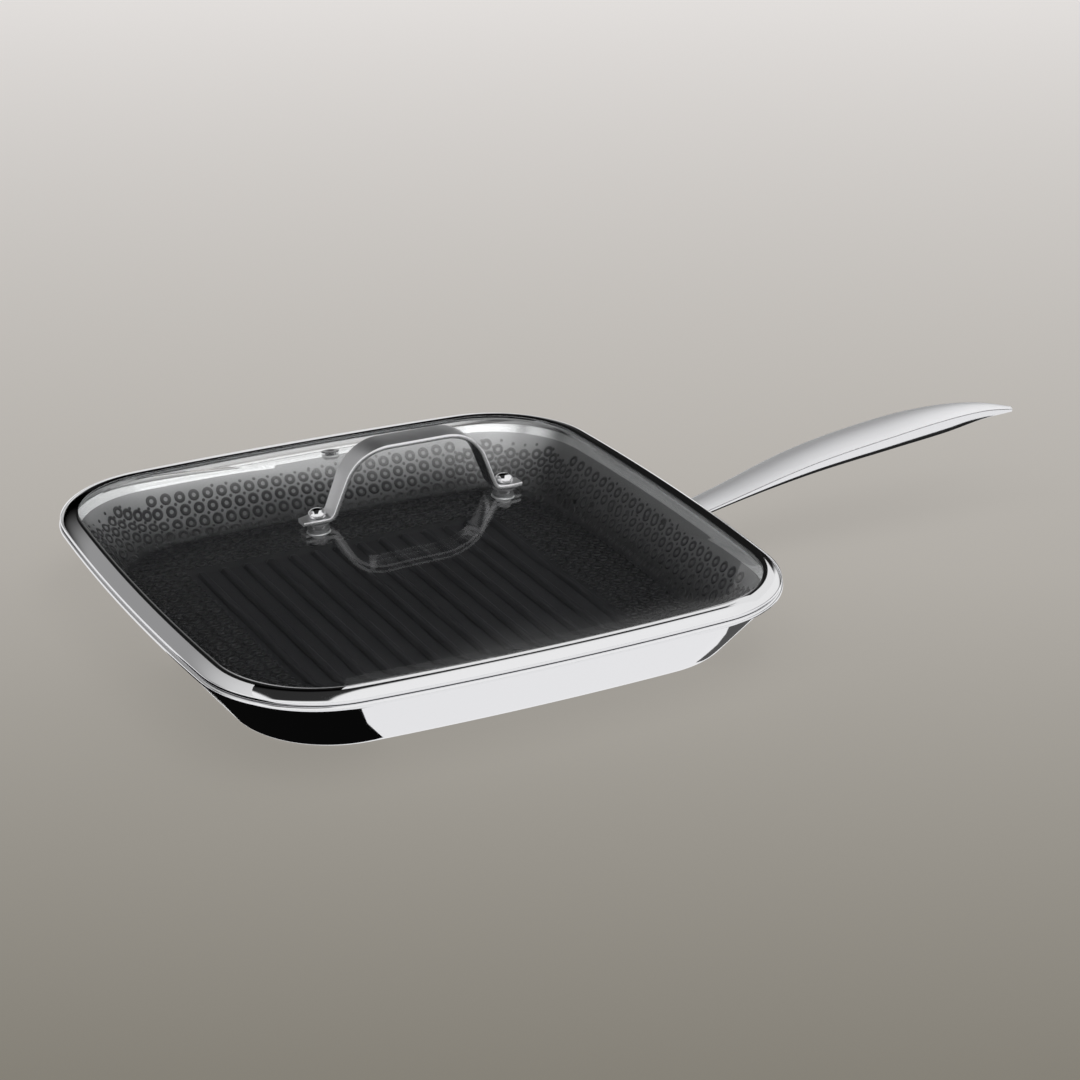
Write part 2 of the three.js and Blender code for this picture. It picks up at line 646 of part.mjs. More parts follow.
// Plan of the strap, narrower down its legs and tapered at both feet, as a tall prism
function strapPlan(end) {
  const shoulder = FOOT_REACH + FOOT_SHOULDER;
  const taper = (HEEL_HALF - FOOT_TIP_HALF) / (FOOT_REACH + FOOT_TIP - shoulder);
  const quarter = [[end, HEEL_HALF - taper * (end - shoulder)], [shoulder, HEEL_HALF],
    [FOOT_REACH - FOOT_HEEL, HEEL_HALF], [GRIP_FULL, STRAP_WIDTH / 2]];
  const far = [...quarter, ...quarter.map(([x, y]) => [-x, y]).reverse()];
  const corners = [...far, ...far.map(([x, y]) => [x, -y]).reverse()];
  const plan = new THREE.Shape(corners.map(([x, y]) => new THREE.Vector2(x, y)));
  const top = domeHeight(0) + GRIP_RISE + STRAP;
  return new THREE.ExtrudeGeometry(plan, { depth: top, bevelEnabled: false });
}

// Fasteners and vent, each along its own frame on the glass

function makeCapNut() {
  const boreTop = CAP_HIGH - CAP_CROWN;
  const rim = CAP_LOW + CAP_RIM;
  const dome = [];
  for (let i = 0; i <= EDGE_STEPS; i += 1) {
    const turn = (Math.PI / 2) * (i / EDGE_STEPS);
    dome.push([CAP_RADIUS * Math.cos(turn), rim + CAP_DOME * Math.sin(turn)]);
  }
  dome[EDGE_STEPS][0] = 0;
  return turned([[0, boreTop], [SCREW_HOLE, boreTop], [SCREW_HOLE, CAP_LOW], [CAP_RADIUS, CAP_LOW], ...dome]);
}

function makeScrew() {
  const end = CAP_HIGH - CAP_CROWN - THREAD_END_CLEARANCE;
  const blank = turned([[0, HEAD_LOW], [SCREW_FACE_RADIUS, HEAD_LOW],
    [SCREW_HEAD_RADIUS, HEAD_LOW + SCREW_BEVEL], [SCREW_HEAD_RADIUS, HEAD_HIGH],
    [SCREW_RADIUS, HEAD_HIGH], [SCREW_RADIUS, end], [0, end]]);
  const slot = new THREE.BoxGeometry(DRIVE_LENGTH, DRIVE_WIDTH, 2 * DRIVE_DEPTH).translate(0, 0, HEAD_LOW);
  const crossSlot = slot.clone().rotateZ(Math.PI / 2);
  return fromSolid(toSolid(blank).subtract(toSolid(slot)).subtract(toSolid(crossSlot)));
}

function makeUpperGasket() {
  return ringOf(SCREW_HOLE, GASKET_RADIUS, PAD_LOW, PAD_HIGH);
}

function makeLowerGasket() {
  const sleeveTop = -SLEEVE_SHORT;
  return turned([[SCREW_HOLE, LOWER_PAD_LOW], [GASKET_RADIUS, LOWER_PAD_LOW], [GASKET_RADIUS, LOWER_PAD_HIGH],
    [SLEEVE_RADIUS, LOWER_PAD_HIGH], [SLEEVE_RADIUS, sleeveTop], [SCREW_HOLE, sleeveTop],
    [SCREW_HOLE, LOWER_PAD_LOW]]);
}

function makeWasher() {
  return ringOf(SCREW_HOLE, WASHER_RADIUS, WASHER_LOW, WASHER_HIGH);
}

const VENT_RING_HIGH = -GLASS - STACK_GAP;
const VENT_RING_LOW = VENT_RING_HIGH - VENT_RING;

function makeVentEyelet() {
  const flangeHigh = STACK_GAP + VENT_SHEET;
  const clinchHigh = VENT_RING_LOW - STACK_GAP;
  const clinchLow = clinchHigh - VENT_SHEET;
  const clinch = VENT_HOLE + VENT_CLINCH;
  return turned([[VENT_BORE, clinchLow], [clinch, clinchLow], [clinch, clinchHigh], [VENT_TUBE, clinchHigh],
    [VENT_TUBE, STACK_GAP], [VENT_FLANGE, STACK_GAP], [VENT_FLANGE - VENT_SHEET / 2, flangeHigh],
    [VENT_BORE, flangeHigh], [VENT_BORE, clinchLow]]);
}

function makeVentRing() {
  return ringOf(VENT_HOLE, VENT_FLANGE, VENT_RING_LOW, VENT_RING_HIGH);
}

// Finishes

function finish(color, metalness, roughness, extra = {}) {
  return new THREE.MeshStandardMaterial({ color, metalness, roughness, ...extra });
}

const polishedSteel = () => finish(0xd4d5d8, 1, 0.12);
const satinSteel = () => finish(0xb9babd, 1, 0.35);
const nonStick = () => finish(0x1c1c1f, 0.2, 0.5);
const aluminium = () => finish(0xc6c8cc, 1, 0.45);
const clearGlass = () => finish(0xdfe6e6, 0, 0.03, { transparent: true, opacity: 0.25 });
const silicone = () => finish(0x8d8f92, 0, 0.7);

// The pan, its handle and its lid

const grillPan = new THREE.Group();

function addPiece(name, geometry, material, frame = null) {
  const mesh = new THREE.Mesh(geometry, material);
  mesh.name = name;
  if (frame) {
    mesh.applyMatrix4(frame);
  }
  grillPan.add(mesh);
}

addPiece('pan_outer_skin', makeOuterSkin(), polishedSteel());
addPiece('pan_core', makeCore(), aluminium());
addPiece('pan_inner_skin', makeInnerSkin(), nonStick());
addPiece('handle_bracket', makeBracket(), satinSteel());
addPiece('handle_upper_shell', makeHandleShell(1), polishedSteel());
addPiece('handle_lower_shell', makeHandleShell(-1), polishedSteel());
addPiece('lid_band', makeBand(), polishedSteel());
addPiece('lid_glass', makeGlass(), clearGlass());
addPiece('lid_handle', makeStrap(), polishedSteel());
addPiece('vent_eyelet', makeVentEyelet(), polishedSteel(), VENT);
addPiece('vent_ring', makeVentRing(), satinSteel(), VENT);
for (const [side, frame] of Object.entries(FEET)) {
  addPiece(`cap_nut_${side}`, makeCapNut(), polishedSteel(), frame);
  addPiece(`lid_screw_${side}`, makeScrew(), satinSteel(), frame);
  addPiece(`upper_gasket_${side}`, makeUpperGasket(), silicone(), frame);
  addPiece(`lower_gasket_${side}`, makeLowerGasket(), silicone(), frame);
  addPiece(`lid_washer_${side}`, makeWasher(), satinSteel(), frame);
}

export default grillPan;
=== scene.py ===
"""Looks of a square grill pan with a domed glass lid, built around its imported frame.

The file is laid out as an add-on: sizes and colours are properties, each group of pieces is an operator, and
main() registers the classes and runs the operators in order. Lengths are in metres, +Z is up and +X points
from the pan's middle to its handle.
"""
import math

import bmesh
import bpy
import numpy as np
from bpy.props import FloatProperty, FloatVectorProperty, IntProperty, PointerProperty
from mathutils import Euler, Matrix, Vector


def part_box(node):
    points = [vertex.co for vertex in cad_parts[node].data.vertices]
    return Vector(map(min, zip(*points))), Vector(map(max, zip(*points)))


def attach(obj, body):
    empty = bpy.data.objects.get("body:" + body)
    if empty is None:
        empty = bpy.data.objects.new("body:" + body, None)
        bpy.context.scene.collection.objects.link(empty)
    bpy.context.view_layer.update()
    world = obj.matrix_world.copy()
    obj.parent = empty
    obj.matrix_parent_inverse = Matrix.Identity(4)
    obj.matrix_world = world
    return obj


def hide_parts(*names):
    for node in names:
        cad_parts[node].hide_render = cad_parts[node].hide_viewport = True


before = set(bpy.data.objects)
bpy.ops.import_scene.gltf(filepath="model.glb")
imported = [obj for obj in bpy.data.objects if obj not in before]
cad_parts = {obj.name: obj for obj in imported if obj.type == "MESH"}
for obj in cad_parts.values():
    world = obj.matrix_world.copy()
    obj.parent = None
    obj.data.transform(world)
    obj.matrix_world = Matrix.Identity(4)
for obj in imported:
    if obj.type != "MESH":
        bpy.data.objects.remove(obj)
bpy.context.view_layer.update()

bl_info = {
    "name": "Grill Pan Looks",
    "version": (1, 0, 0),
    "blender": (4, 5, 0),
    "location": "3D View > Sidebar > Grill Pan",
    "description": "Builds the visible pieces of a square grill pan and its glass lid around the packed frame",
    "category": "Object",
}

# Places taken from the frame
LIP_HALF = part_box("pan_outer_skin")[1].x
PAN_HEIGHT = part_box("pan_outer_skin")[1].z
BAND_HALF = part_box("lid_band")[1].x
GLASS_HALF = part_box("lid_glass")[1].x
DOME_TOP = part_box("lid_glass")[1].z
STRAP_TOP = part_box("lid_handle")[1].z
STRAP_WIDTH = 2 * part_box("lid_handle")[1].y

# Fineness of the meshes
SIDE_STEPS = 24
CORNER_STEPS = 32
FILLET_STEPS = 12
FLARE_STEPS = 6
WALL_STEPS = 12
EDGE_STEPS = 16
CROWN_STEPS = 16
DOME_STEPS = 48
TURN_STEPS = 64
BEND_STEPS = 20
HANDLE_STEPS = 110
SECTION_STEPS = 40
PLATE_CORNER_STEPS = 10
STRAP_EDGE_STEPS = 4
RIB_END_STEPS = 8
RIB_CREST_STEPS = 6
VENT_MOUTH_STEPS = 6
VENT_RIM_STEPS = 8
RING_SIDES = 14
RING_BAND_SIDES = 5
DOT_SIDES = 6
DOT_RINGS = 4
SHARP_ANGLE = math.radians(32)
MERGE_DISTANCE = 1e-7
POLE_RADIUS = 1e-6

# Handle: reach out from the lip's edge, seam height from the lip's top, half width, crown above, depth below
HANDLE_ROOT = (-0.0143, 0.0084, 0.0036, 0.0036)
HANDLE_STATIONS = (
    (0.020, -0.0066, 0.0090, 0.0036, 0.0036),
    (0.071, 0.0064, 0.0115, 0.0047, 0.0076),
    (0.122, 0.0137, 0.0120, 0.0049, 0.0096),
    (0.155, 0.0159, 0.0095, 0.0041, 0.0094),
    (0.181, 0.0149, 0.0055, 0.0026, 0.0056),
    (0.201, 0.0114, 0.0018, 0.0009, 0.0018),
)


def size(name, default, about):
    """A length that a user may change."""
    return FloatProperty(name=name, description=about, default=default, unit="LENGTH", precision=5)


def share(name, default, about):
    """A plain number that a user may change."""
    return FloatProperty(name=name, description=about, default=default, precision=3)


def colour(name, default, about):
    """A linear colour that a user may change."""
    return FloatVectorProperty(name=name, description=about, default=default, size=3, subtype="COLOR",
                               min=0, max=1)


class PanSizes(bpy.types.PropertyGroup):
    """Pressed layers of the pan."""

    lip_half: size("Lip half width", LIP_HALF, "Half width over the lip, at the middle of a side")
    height: size("Height", PAN_HEIGHT, "Base underside to the top of the lip")
    base_half: size("Base half width", 0.1155, "Half width of the flat base")
    side_radius: size("Side bow", 1.36, "Radius of each side's bow at the lip")
    lip_corner: size("Lip corner", 0.057, "Corner radius at the lip")
    base_corner: size("Base corner", 0.0425, "Corner radius at the base")
    fillet: size("Base fillet", 0.0095, "Outside radius between base and wall")
    flare: size("Lip flare", 0.0015, "Outside radius where the wall turns out into the lip")
    lip_flat: size("Lip flat", 0.0005, "Flat of the lip between its flare and its rolled edge")
    skin: size("Steel skin", 0.0006, "Thickness of each steel skin")
    core: size("Core", 0.0012, "Thickness of the aluminium core")
    bond: size("Bond line", 0.0002, "Gap between two layers")
    coat: size("Coating", 0.00012, "Thickness of the non-stick coating")
    bare_rim: size("Bare rim", 0.0060, "Height of the uncoated steel below the lip's top")


class ReliefSizes(bpy.types.PropertyGroup):
    """Raised ribs and rings of the coated inside."""

    rib_count: IntProperty(name="Ribs", description="Number of raised ribs", default=14, min=1)
    rib_pitch: size("Rib pitch", 0.012, "Middle of one rib to the next")
    rib_length: size("Rib length", 0.154, "Length of each rib at the floor")
    rib_foot: size("Rib foot", 0.005, "Width of a rib at the floor")
    rib_crest: size("Rib crest", 0.0026, "Width of a rib at its crest")
    rib_height: size("Rib height", 0.0018, "Height of a rib")
    pitch: size("Ring pitch", 0.00668, "Middle of one ring to the next")
    ring_radius: size("Ring radius", 0.00195, "Radius at the middle of a ring's band")
    ring_band: size("Ring band", 0.0021, "Width of a ring's band")
    ring_height: size("Ring height", 0.00022, "How far a ring stands above the coating")
    ring_margin: size("Ring margin", 0.003, "End of the coating to the outermost rings")
    dot_radius: size("Dot radius", 0.00095, "Radius of the dots between the rings")
    dot_height: size("Dot height", 0.0002, "How far a dot stands above the coating")


class HandleSizes(bpy.types.PropertyGroup):
    """Pressed shells and bracket of the long handle."""

    sheet: size("Sheet", 0.0012, "Wall of each shell")
    seam: size("Seam", 0.0003, "Open line between the two shells")
    solid_tip: size("Solid tip", 0.040, "Length at the tip that is not hollow")
    boxiness: share("Boxiness", 3.0, "How square the lower shell's section is")
    tongue: size("Tongue", 0.026, "How far the bracket's tongue enters the handle")
    tongue_clearance: size("Tongue clearance", 0.0004, "Tongue to the shells")
    plate_width: size("Plate width", 0.034, "Width of the bracket's plate")
    plate_height: size("Plate height", 0.017, "Height of the bracket's plate along the wall")
    plate: size("Plate", 0.002, "Thickness of the bracket's plate")
    plate_corner: size("Plate corner", 0.006, "Corner radius of the plate")
    plate_drop: size("Plate drop", 0.0132, "Lip's top down to the plate's middle")
    weld: size("Weld line", 0.0003, "Gap that the weld fills")


class LidSizes(bpy.types.PropertyGroup):
    """Glass dome and the steel band around it."""

    seat: size("Seat", 0.0003, "Band over the pan's lip")
    sheet: size("Band sheet", 0.0005, "Thickness of the band")
    band_top: size("Band top", 0.0088, "Width of the band's crowned top")
    band_round: size("Band edge", 0.0009, "Outside radius of the band's lower edge")
    band_shoulder: size("Band shoulder", 0.0012, "Outside radius between the band's face and its crown")
    band_crown: size("Band crown", 0.009, "Outside radius of the crown")
    shoulder_turn: FloatProperty(name="Shoulder turn", default=math.pi / 4, unit="ROTATION",
                                 description="How far the shoulder turns before the crown")
    bead_depth: size("Bead depth", 0.002, "Locating bead below the band's seat")
    bead_clearance: size("Bead clearance", 0.0014, "Locating bead to the pan's inner wall")
    glass: size("Glass", 0.003, "Thickness of the glass")
    glass_gap: size("Glass gap", 0.0003, "Glass in the band's channel")
    flat: size("Flat rim", 0.001, "Flat glass inside the band before the dome starts")
    power: share("Dome power", 2.4, "Two is a parabola, more is flatter in the middle")
    rounding: share("Dome rounding", 0.8, "How near the dome's contours come to circles at its middle")


class StrapSizes(bpy.types.PropertyGroup):
    """Bent strap that lifts the lid."""

    width: size("Width", STRAP_WIDTH, "Width of the strap")
    sheet: size("Strap", 0.0021, "Thickness of the strap")
    edge: size("Edge radius", 0.00035, "Rounding of the strap's long edges")
    grip_half: size("Grip half", 0.0295, "Half length of the grip to the corner of the bend")
    grip_bend: size("Grip bend", 0.022, "Bend radius beside the grip")
    foot_bend: size("Foot bend", 0.0045, "Bend radius above a foot")
    foot_reach: size("Foot reach", 0.048, "Lid's middle to each screw")
    heel: size("Heel", 0.0062, "Screw to the corner between foot and leg")
    tip: size("Foot tip", 0.0082, "Screw to the end of the foot")
    grip_full: size("Grip full", 0.020, "Half length of the grip that keeps its full width")
    heel_half: size("Heel half width", 0.0054, "Half width from the heel to the foot's shoulder")
    tip_half: size("Tip half width", 0.0034, "Half width of the foot's tapered end")
    shoulder: size("Shoulder", 0.0005, "Screw to where the taper starts")


class FastenerSizes(bpy.types.PropertyGroup):
    """Stack of pieces at each foot, and the steam vent."""

    gap: size("Stack gap", 0.0003, "Between any two pieces in a stack")
    screw: size("Screw radius", 0.002, "Radius of the screw's shank")
    clearance: size("Screw clearance", 0.0003, "Shank to the holes that it passes")
    head_radius: size("Head radius", 0.0039, "Radius of the screw's head")
    head: size("Head", 0.002, "Height of the screw's head")
    face_radius: size("Head face", 0.0027, "Radius of the flat end of the head")
    bevel: size("Head bevel", 0.001, "Height of the bevel around that end")
    drive_length: size("Recess length", 0.0044, "Length of the cross recess")
    drive_width: size("Recess width", 0.0009, "Width of the cross recess")
    drive_depth: size("Recess depth", 0.0011, "Depth of the cross recess")
    nut_radius: size("Nut radius", 0.0042, "Radius of the domed nut")
    nut_rim: size("Nut rim", 0.0012, "Straight rim below the nut's dome")
    nut_dome: size("Nut dome", 0.0026, "Height of the nut's dome")
    nut_crown: size("Nut crown", 0.0012, "Metal left over the screw's end")
    end_clearance: size("End clearance", 0.0004, "Screw's end to the nut's bore")
    pad: size("Pad", 0.0011, "Thickness of the silicone washers")
    pad_radius: size("Pad radius", 0.0052, "Radius of the silicone washers")
    sleeve: size("Sleeve", 0.0007, "Wall of the sleeve through the glass")
    sleeve_short: size("Sleeve short", 0.0005, "Sleeve's end below the glass's top")
    washer: size("Washer", 0.0008, "Thickness of the steel washers")
    washer_radius: size("Washer radius", 0.0056, "Radius of the steel washers")
    washer_soft: size("Washer edge", 0.00025, "Softened outer edges of the washers")
    soft: size("Soft edge", 0.0002, "Softened edges of the nuts and of the vent's ring")
    vent_reach: size("Vent reach", 0.096, "Lid's middle to the vent")
    vent_bore: size("Vent bore", 0.0019, "Radius of the vent's bore")
    vent_wall: size("Vent wall", 0.0006, "Wall of the vent's tube")
    vent_flange: size("Vent flange", 0.0045, "Radius of the vent's flange")
    vent_sheet: size("Vent sheet", 0.0007, "Thickness of the vent's flange")
    vent_ring: size("Vent ring", 0.0008, "Thickness of the ring under the glass")
    vent_clinch: size("Vent clinch", 0.0006, "How far the tube's end spreads over the ring")


class FinishColours(bpy.types.PropertyGroup):
    """Colours of the finishes."""

    polished: colour("Polished steel", (0.80, 0.80, 0.81), "Mirror polished stainless steel")
    satin: colour("Satin steel", (0.62, 0.62, 0.63), "Satin stainless steel")
    coat: colour("Non-stick floor", (0.009, 0.009, 0.0097), "Coating between the ribs")
    etched: colour("Etched ground", (0.30, 0.30, 0.305), "Ground between the rings at the top of the wall")
    ring: colour("Non-stick rings", (0.045, 0.044, 0.047), "Raised rings and dots at the top of the wall")
    core: colour("Core", (0.60, 0.60, 0.62), "Aluminium core")
    glass: colour("Glass", (0.985, 0.993, 0.99), "Clear tempered glass")
    glass_index: share("Glass index", 1.25, "Refractive index, set below real glass to keep its glare low")
    silicone: colour("Silicone", (0.16, 0.16, 0.165), "Silicone washers")


class StageLook(bpy.types.PropertyGroup):
    """Camera, floor and light."""

    camera_place: FloatVectorProperty(
        name="Camera place", description="Where the camera stands", default=(-0.5101, -1.0985, 0.5517),
        size=3, subtype="TRANSLATION", unit="LENGTH")
    camera_turn: FloatVectorProperty(
        name="Camera turn", description="Turn of the camera about X, Y and Z",
        default=(math.radians(66.928), math.radians(-0.307), math.radians(-27.623)),
        size=3, subtype="EULER", unit="ROTATION")
    lens: FloatProperty(name="Lens", description="Focal length on the sensor", default=92.85, unit="CAMERA")
    sensor: FloatProperty(name="Sensor", description="Width of the sensor", default=36.0, unit="CAMERA")
    floor_half: size("Floor half width", 6.0, "Half width of the floor")
    floor_drop: size("Floor drop", 0.0003, "Pan's base to the floor")
    floor_near: colour("Floor, near", (0.240, 0.224, 0.190), "Floor in front of the pan")
    floor_middle: colour("Floor, middle", (0.453, 0.429, 0.395), "Floor around the pan")
    floor_far: colour("Floor, far", (0.835, 0.808, 0.790), "Floor far behind the pan, and the backdrop")
    ramp_near: size("Ramp start", -0.393, "Where the near colour ends, beyond the pan's middle")
    ramp_far: size("Ramp end", 1.45, "Where the far colour starts, beyond the pan's middle")
    ramp_middle: share("Ramp middle", 0.24, "Place of the middle colour between those two")
    floor_glow: share("Floor glow", 0.75, "Share of the floor's look that keeps its colour in the shadow")
    floor_mirrored: colour("Floor in metal", (0.94, 0.94, 0.95), "Floor near the pan as polished metal shows it")
    floor_dark: colour("Far floor in metal", (0.02, 0.02, 0.02), "Floor far away as polished metal shows it")
    pool_inner: size("Pool", 0.6, "Radius of the near floor that polished metal shows")
    pool_outer: size("Pool end", 1.6, "Radius where the far floor starts that polished metal shows")
    sky: colour("Studio", (1.0, 1.0, 1.0), "Soft light from all around")
    lamp_side: size("Lamp side", 1.6, "Side of the square lamp overhead")
    lamp_height: size("Lamp height", 1.6, "Height of the lamp overhead")
    lamp_forward: size("Lamp forward", 0.2, "Lamp to the pan's middle, towards -Y")
    lamp_power: FloatProperty(name="Lamp power", description="Power of the lamp", default=9.0, unit="POWER")


class GrillPanSettings(bpy.types.PropertyGroup):
    """All sizes and colours of the grill pan."""

    pan: PointerProperty(type=PanSizes)
    relief: PointerProperty(type=ReliefSizes)
    handle: PointerProperty(type=HandleSizes)
    lid: PointerProperty(type=LidSizes)
    strap: PointerProperty(type=StrapSizes)
    fastener: PointerProperty(type=FastenerSizes)
    colours: PointerProperty(type=FinishColours)
    stage: PointerProperty(type=StageLook)


# Node trees

class Socket:
    """An output of a node that takes part in Python expressions, each of which adds a Math node."""

    def __init__(self, nodes, socket):
        self.nodes = nodes
        self.socket = socket

    def maths(self, operation, first, second):
        return self.nodes.maths(operation, first, second)

    def __add__(self, other):
        return self.maths("ADD", self, other)

    def __radd__(self, other):
        return self.maths("ADD", other, self)

    def __sub__(self, other):
        return self.maths("SUBTRACT", self, other)

    def __rsub__(self, other):
        return self.maths("SUBTRACT", other, self)

    def __mul__(self, other):
        return self.maths("MULTIPLY", self, other)

    def __rmul__(self, other):
        return self.maths("MULTIPLY", other, self)

    def __truediv__(self, other):
        return self.maths("DIVIDE", self, other)

    def __rtruediv__(self, other):
        return self.maths("DIVIDE", other, self)


class Nodes:
    """Adds nodes to one tree."""

    def __init__(self, tree):
        self.tree = tree

    def add(self, kind, settings=None, sockets=None, output=0):
        """A node of one kind: settings are made first, then sockets are set or linked. Gives one output."""
        node = self.tree.nodes.new(kind)
        for name, value in (settings or {}).items():
            if name == "stops":
                self.set_stops(node.color_ramp, value)
            else:
                setattr(node, name, value)
        for key, value in (sockets or {}).items():
            if isinstance(value, Socket):
                self.tree.links.new(value.socket, node.inputs[key])
            else:
                node.inputs[key].default_value = value
        return Socket(self, node.outputs[output]) if node.outputs else None

    @staticmethod
    def set_stops(ramp, stops):
        while len(ramp.elements) < len(stops):
            ramp.elements.new(1.0)
        for element, (position, value) in zip(ramp.elements, stops):
            element.position = position
            element.color = (*value, 1.0)

    def maths(self, operation, *values):
        return self.add("ShaderNodeMath", {"operation": operation}, dict(enumerate(values)))

    def linear(self, value, low, high):
        """Zero below low and one above high, with a straight ramp between."""
        return self.add("ShaderNodeMapRange", None,
                        {"Value": value, "From Min": low, "From Max": high}, "Result")

    def smooth(self, value, low, high):
        """Zero below low and one above high, with a soft step between."""
        return self.add("ShaderNodeMapRange", {"interpolation_type": "SMOOTHSTEP"},
                        {"Value": value, "From Min": low, "From Max": high}, "Result")

    def within(self, value, rise, fall):
        """One between two soft steps, each given as its start and end."""
        return self.smooth(value, *rise) * (1.0 - self.smooth(value, *fall))

    def axis(self, vector, name):
        """X, Y or Z of a vector."""
        return self.add("ShaderNodeSeparateXYZ", None, {0: vector}, name)

    def noise(self, coordinates, scale, detail=3.0):
        return self.add("ShaderNodeTexNoise", None,
                        {"Vector": coordinates, "Scale": scale, "Detail": detail}, "Fac")

    def mix(self, factor, first, second):
        """Colour between two colours."""
        values = [(*value, 1.0) if not isinstance(value, Socket) else value for value in (first, second)]
        return self.add("ShaderNodeMix", {"data_type": "RGBA"}, {0: factor, 6: values[0], 7: values[1]}, 2)

    def bump(self, height, strength, distance):
        return self.add("ShaderNodeBump", None, {"Height": height, "Strength": strength, "Distance": distance})

    def ray(self, kind):
        """One for rays of one kind."""
        return self.add("ShaderNodeLightPath", None, None, kind)

    def principled(self, sockets):
        return self.add("ShaderNodeBsdfPrincipled", None, sockets)

    def glow(self, shade):
        return self.add("ShaderNodeEmission", None, {"Color": shade})

    def choose(self, factor, first, second):
        """Shader between two shaders."""
        return self.add("ShaderNodeMixShader", None, {0: factor, 1: first, 2: second})


def new_finish(name, describe):
    """A material whose surface is what describe adds, made once."""
    if name in bpy.data.materials:
        return bpy.data.materials[name]
    material = bpy.data.materials.new(name)
    material.use_nodes = True
    material.node_tree.nodes.clear()
    nodes = Nodes(material.node_tree)
    nodes.add("ShaderNodeOutputMaterial", None, {"Surface": describe(nodes)})
    return material


def on_piece(nodes):
    return nodes.add("ShaderNodeTexCoord", None, None, "Object")


def colours():
    return bpy.context.scene.grill_pan.colours


def opaque(rgb):
    return (*rgb, 1.0)


def toned(rgb, tone):
    return tuple(tone * c for c in rgb)


# Noise scales of the finishes
WAVES = 22.0
WIPES = 260.0
COAT_CLOUDS = 35.0
COAT_GRAIN = 1500.0
RELIEF_GRAIN = 1800.0
ROLLED_GRAIN = 700.0
SILICONE_DUST = 900.0

# Strength and depth of the finishes' bumps
WAVE_BUMP = (0.10, 0.0005)
WHEEL_BUMP = (0.15, 0.0002)
DRAWN_BUMP = (0.08, 0.0001)
COAT_BUMP = (0.02, 0.0001)
RELIEF_BUMP = (0.08, 0.0001)

# Polished steel: least roughness, and brightness, raised as painted light on the handle's top and lowered as
# painted shade on the vent
POLISHES = {
    "mirror_polish": (0.045, 1.0),
    "soft_polish": (0.38, 1.0),
    # Handle's top shell: base brightened as painted light on its top
    "handle_satin_painted_light": (0.60, 1.2),
    "handle_polish": (0.10, 1.0),
    "band_polish": (0.05, 1.0),
    # Vent: base darkened as painted shade
    "vent_satin_painted_shade": (0.20, 0.35),
    "bead_satin": (0.55, 1.0),
}
WIPE_ROUGHNESS = 0.05

# Coated inside: soft edge of the ribbed field, and start and end of the dark line of painted shade along each
# rib's foot
FIELD_EDGE = 0.002
RIB_FOOT_SHADE = (0.0006, 0.0001)


def polished(name):
    """Polished steel with the faint waves of pressed sheet and fine wipe marks."""
    roughness, tone = POLISHES[name]

    def describe(nodes):
        place = on_piece(nodes)
        waves = nodes.noise(place, WAVES, detail=1.0)
        wipes = nodes.noise(place, WIPES, detail=4.0)
        return nodes.principled({
            "Base Color": opaque(toned(colours().polished, tone)), "Metallic": 1.0,
            "Roughness": roughness + wipes * WIPE_ROUGHNESS, "Normal": nodes.bump(waves, *WAVE_BUMP)})
    return new_finish(name, describe)


def lined_steel(name, rgb, stretch, detail, roughness, relief):
    """Steel with fine lines that stretch draws out; roughness gives the least and what the lines add."""
    least, added = roughness

    def describe(nodes):
        stretched = nodes.add("ShaderNodeMapping", None, {"Vector": on_piece(nodes), "Scale": stretch})
        lines = nodes.noise(stretched, 1.0, detail)
        return nodes.principled({
            "Base Color": opaque(rgb), "Metallic": 1.0,
            "Roughness": least + lines * added, "Normal": nodes.bump(lines, *relief)})
    return new_finish(name, describe)


def rim_polish():
    """Bare inside of the pan, with the lines of a wheel that ran around it."""
    return lined_steel("rim_polish", colours().polished, stretch=(12.0, 12.0, 900.0), detail=3.0,
                       roughness=(0.12, 0.10), relief=WHEEL_BUMP)


def satin_steel():
    """Drawn steel with lines along X."""
    return lined_steel("drawn_steel", colours().satin, stretch=(60.0, 1600.0, 1600.0), detail=4.0,
                       roughness=(0.24, 0.16), relief=DRAWN_BUMP)


def up_the_wall(nodes, place):
    """Zero on the floor and one at the coating's end."""
    pan = bpy.context.scene.grill_pan.pan
    return nodes.linear(nodes.axis(place, "Z"), Wall(pan).thickness, pan.height - pan.bare_rim)


def coated_inside():
    """Black coating between the ribs, with painted shade in a thin dark line along each rib's foot, and an
    etched metallic ground where the rings are.
    """
    def describe(nodes):
        sizes = bpy.context.scene.grill_pan.relief
        place = on_piece(nodes)
        inside = []
        for axis, half in (("X", sizes.rib_pitch * sizes.rib_count / 2), ("Y", sizes.rib_length / 2)):
            reach = nodes.maths("ABSOLUTE", nodes.axis(place, axis))
            inside.append(1.0 - nodes.smooth(reach, half - FIELD_EDGE, half + FIELD_EDGE))
        ribbed = inside[0] * inside[1]
        between = nodes.maths("PINGPONG", nodes.axis(place, "X"), sizes.rib_pitch / 2)
        foot = (sizes.rib_pitch - sizes.rib_foot) / 2
        # Painted shade: a thin dark line on the floor along each rib's foot
        rib_foot_shade = nodes.smooth(between, *(foot - line for line in RIB_FOOT_SHADE))
        grain = nodes.noise(place, COAT_GRAIN)
        cloud = nodes.noise(place, COAT_CLOUDS, detail=2.0)
        high = up_the_wall(nodes, place)
        floor = tuple(colours().coat)
        # The dark colour is the painted shade at the ribs' feet
        pale, dark = toned(floor, 1.6), toned(floor, 0.1)
        etched = nodes.mix(high * (0.8 + grain * 0.2 + cloud * 0.2), floor, tuple(colours().etched))
        metal = nodes.smooth(high, 0.0, 0.12)
        return nodes.principled({
            "Base Color": nodes.mix(ribbed, etched, nodes.mix(rib_foot_shade, pale, dark)),
            "Metallic": metal * (1.0 - ribbed),
            "Roughness": 0.26 + grain * 0.08 + ribbed * 0.16,
            "Specular IOR Level": 0.10,
            "Normal": nodes.bump(grain, *COAT_BUMP)})
    return new_finish("coated_inside", describe)


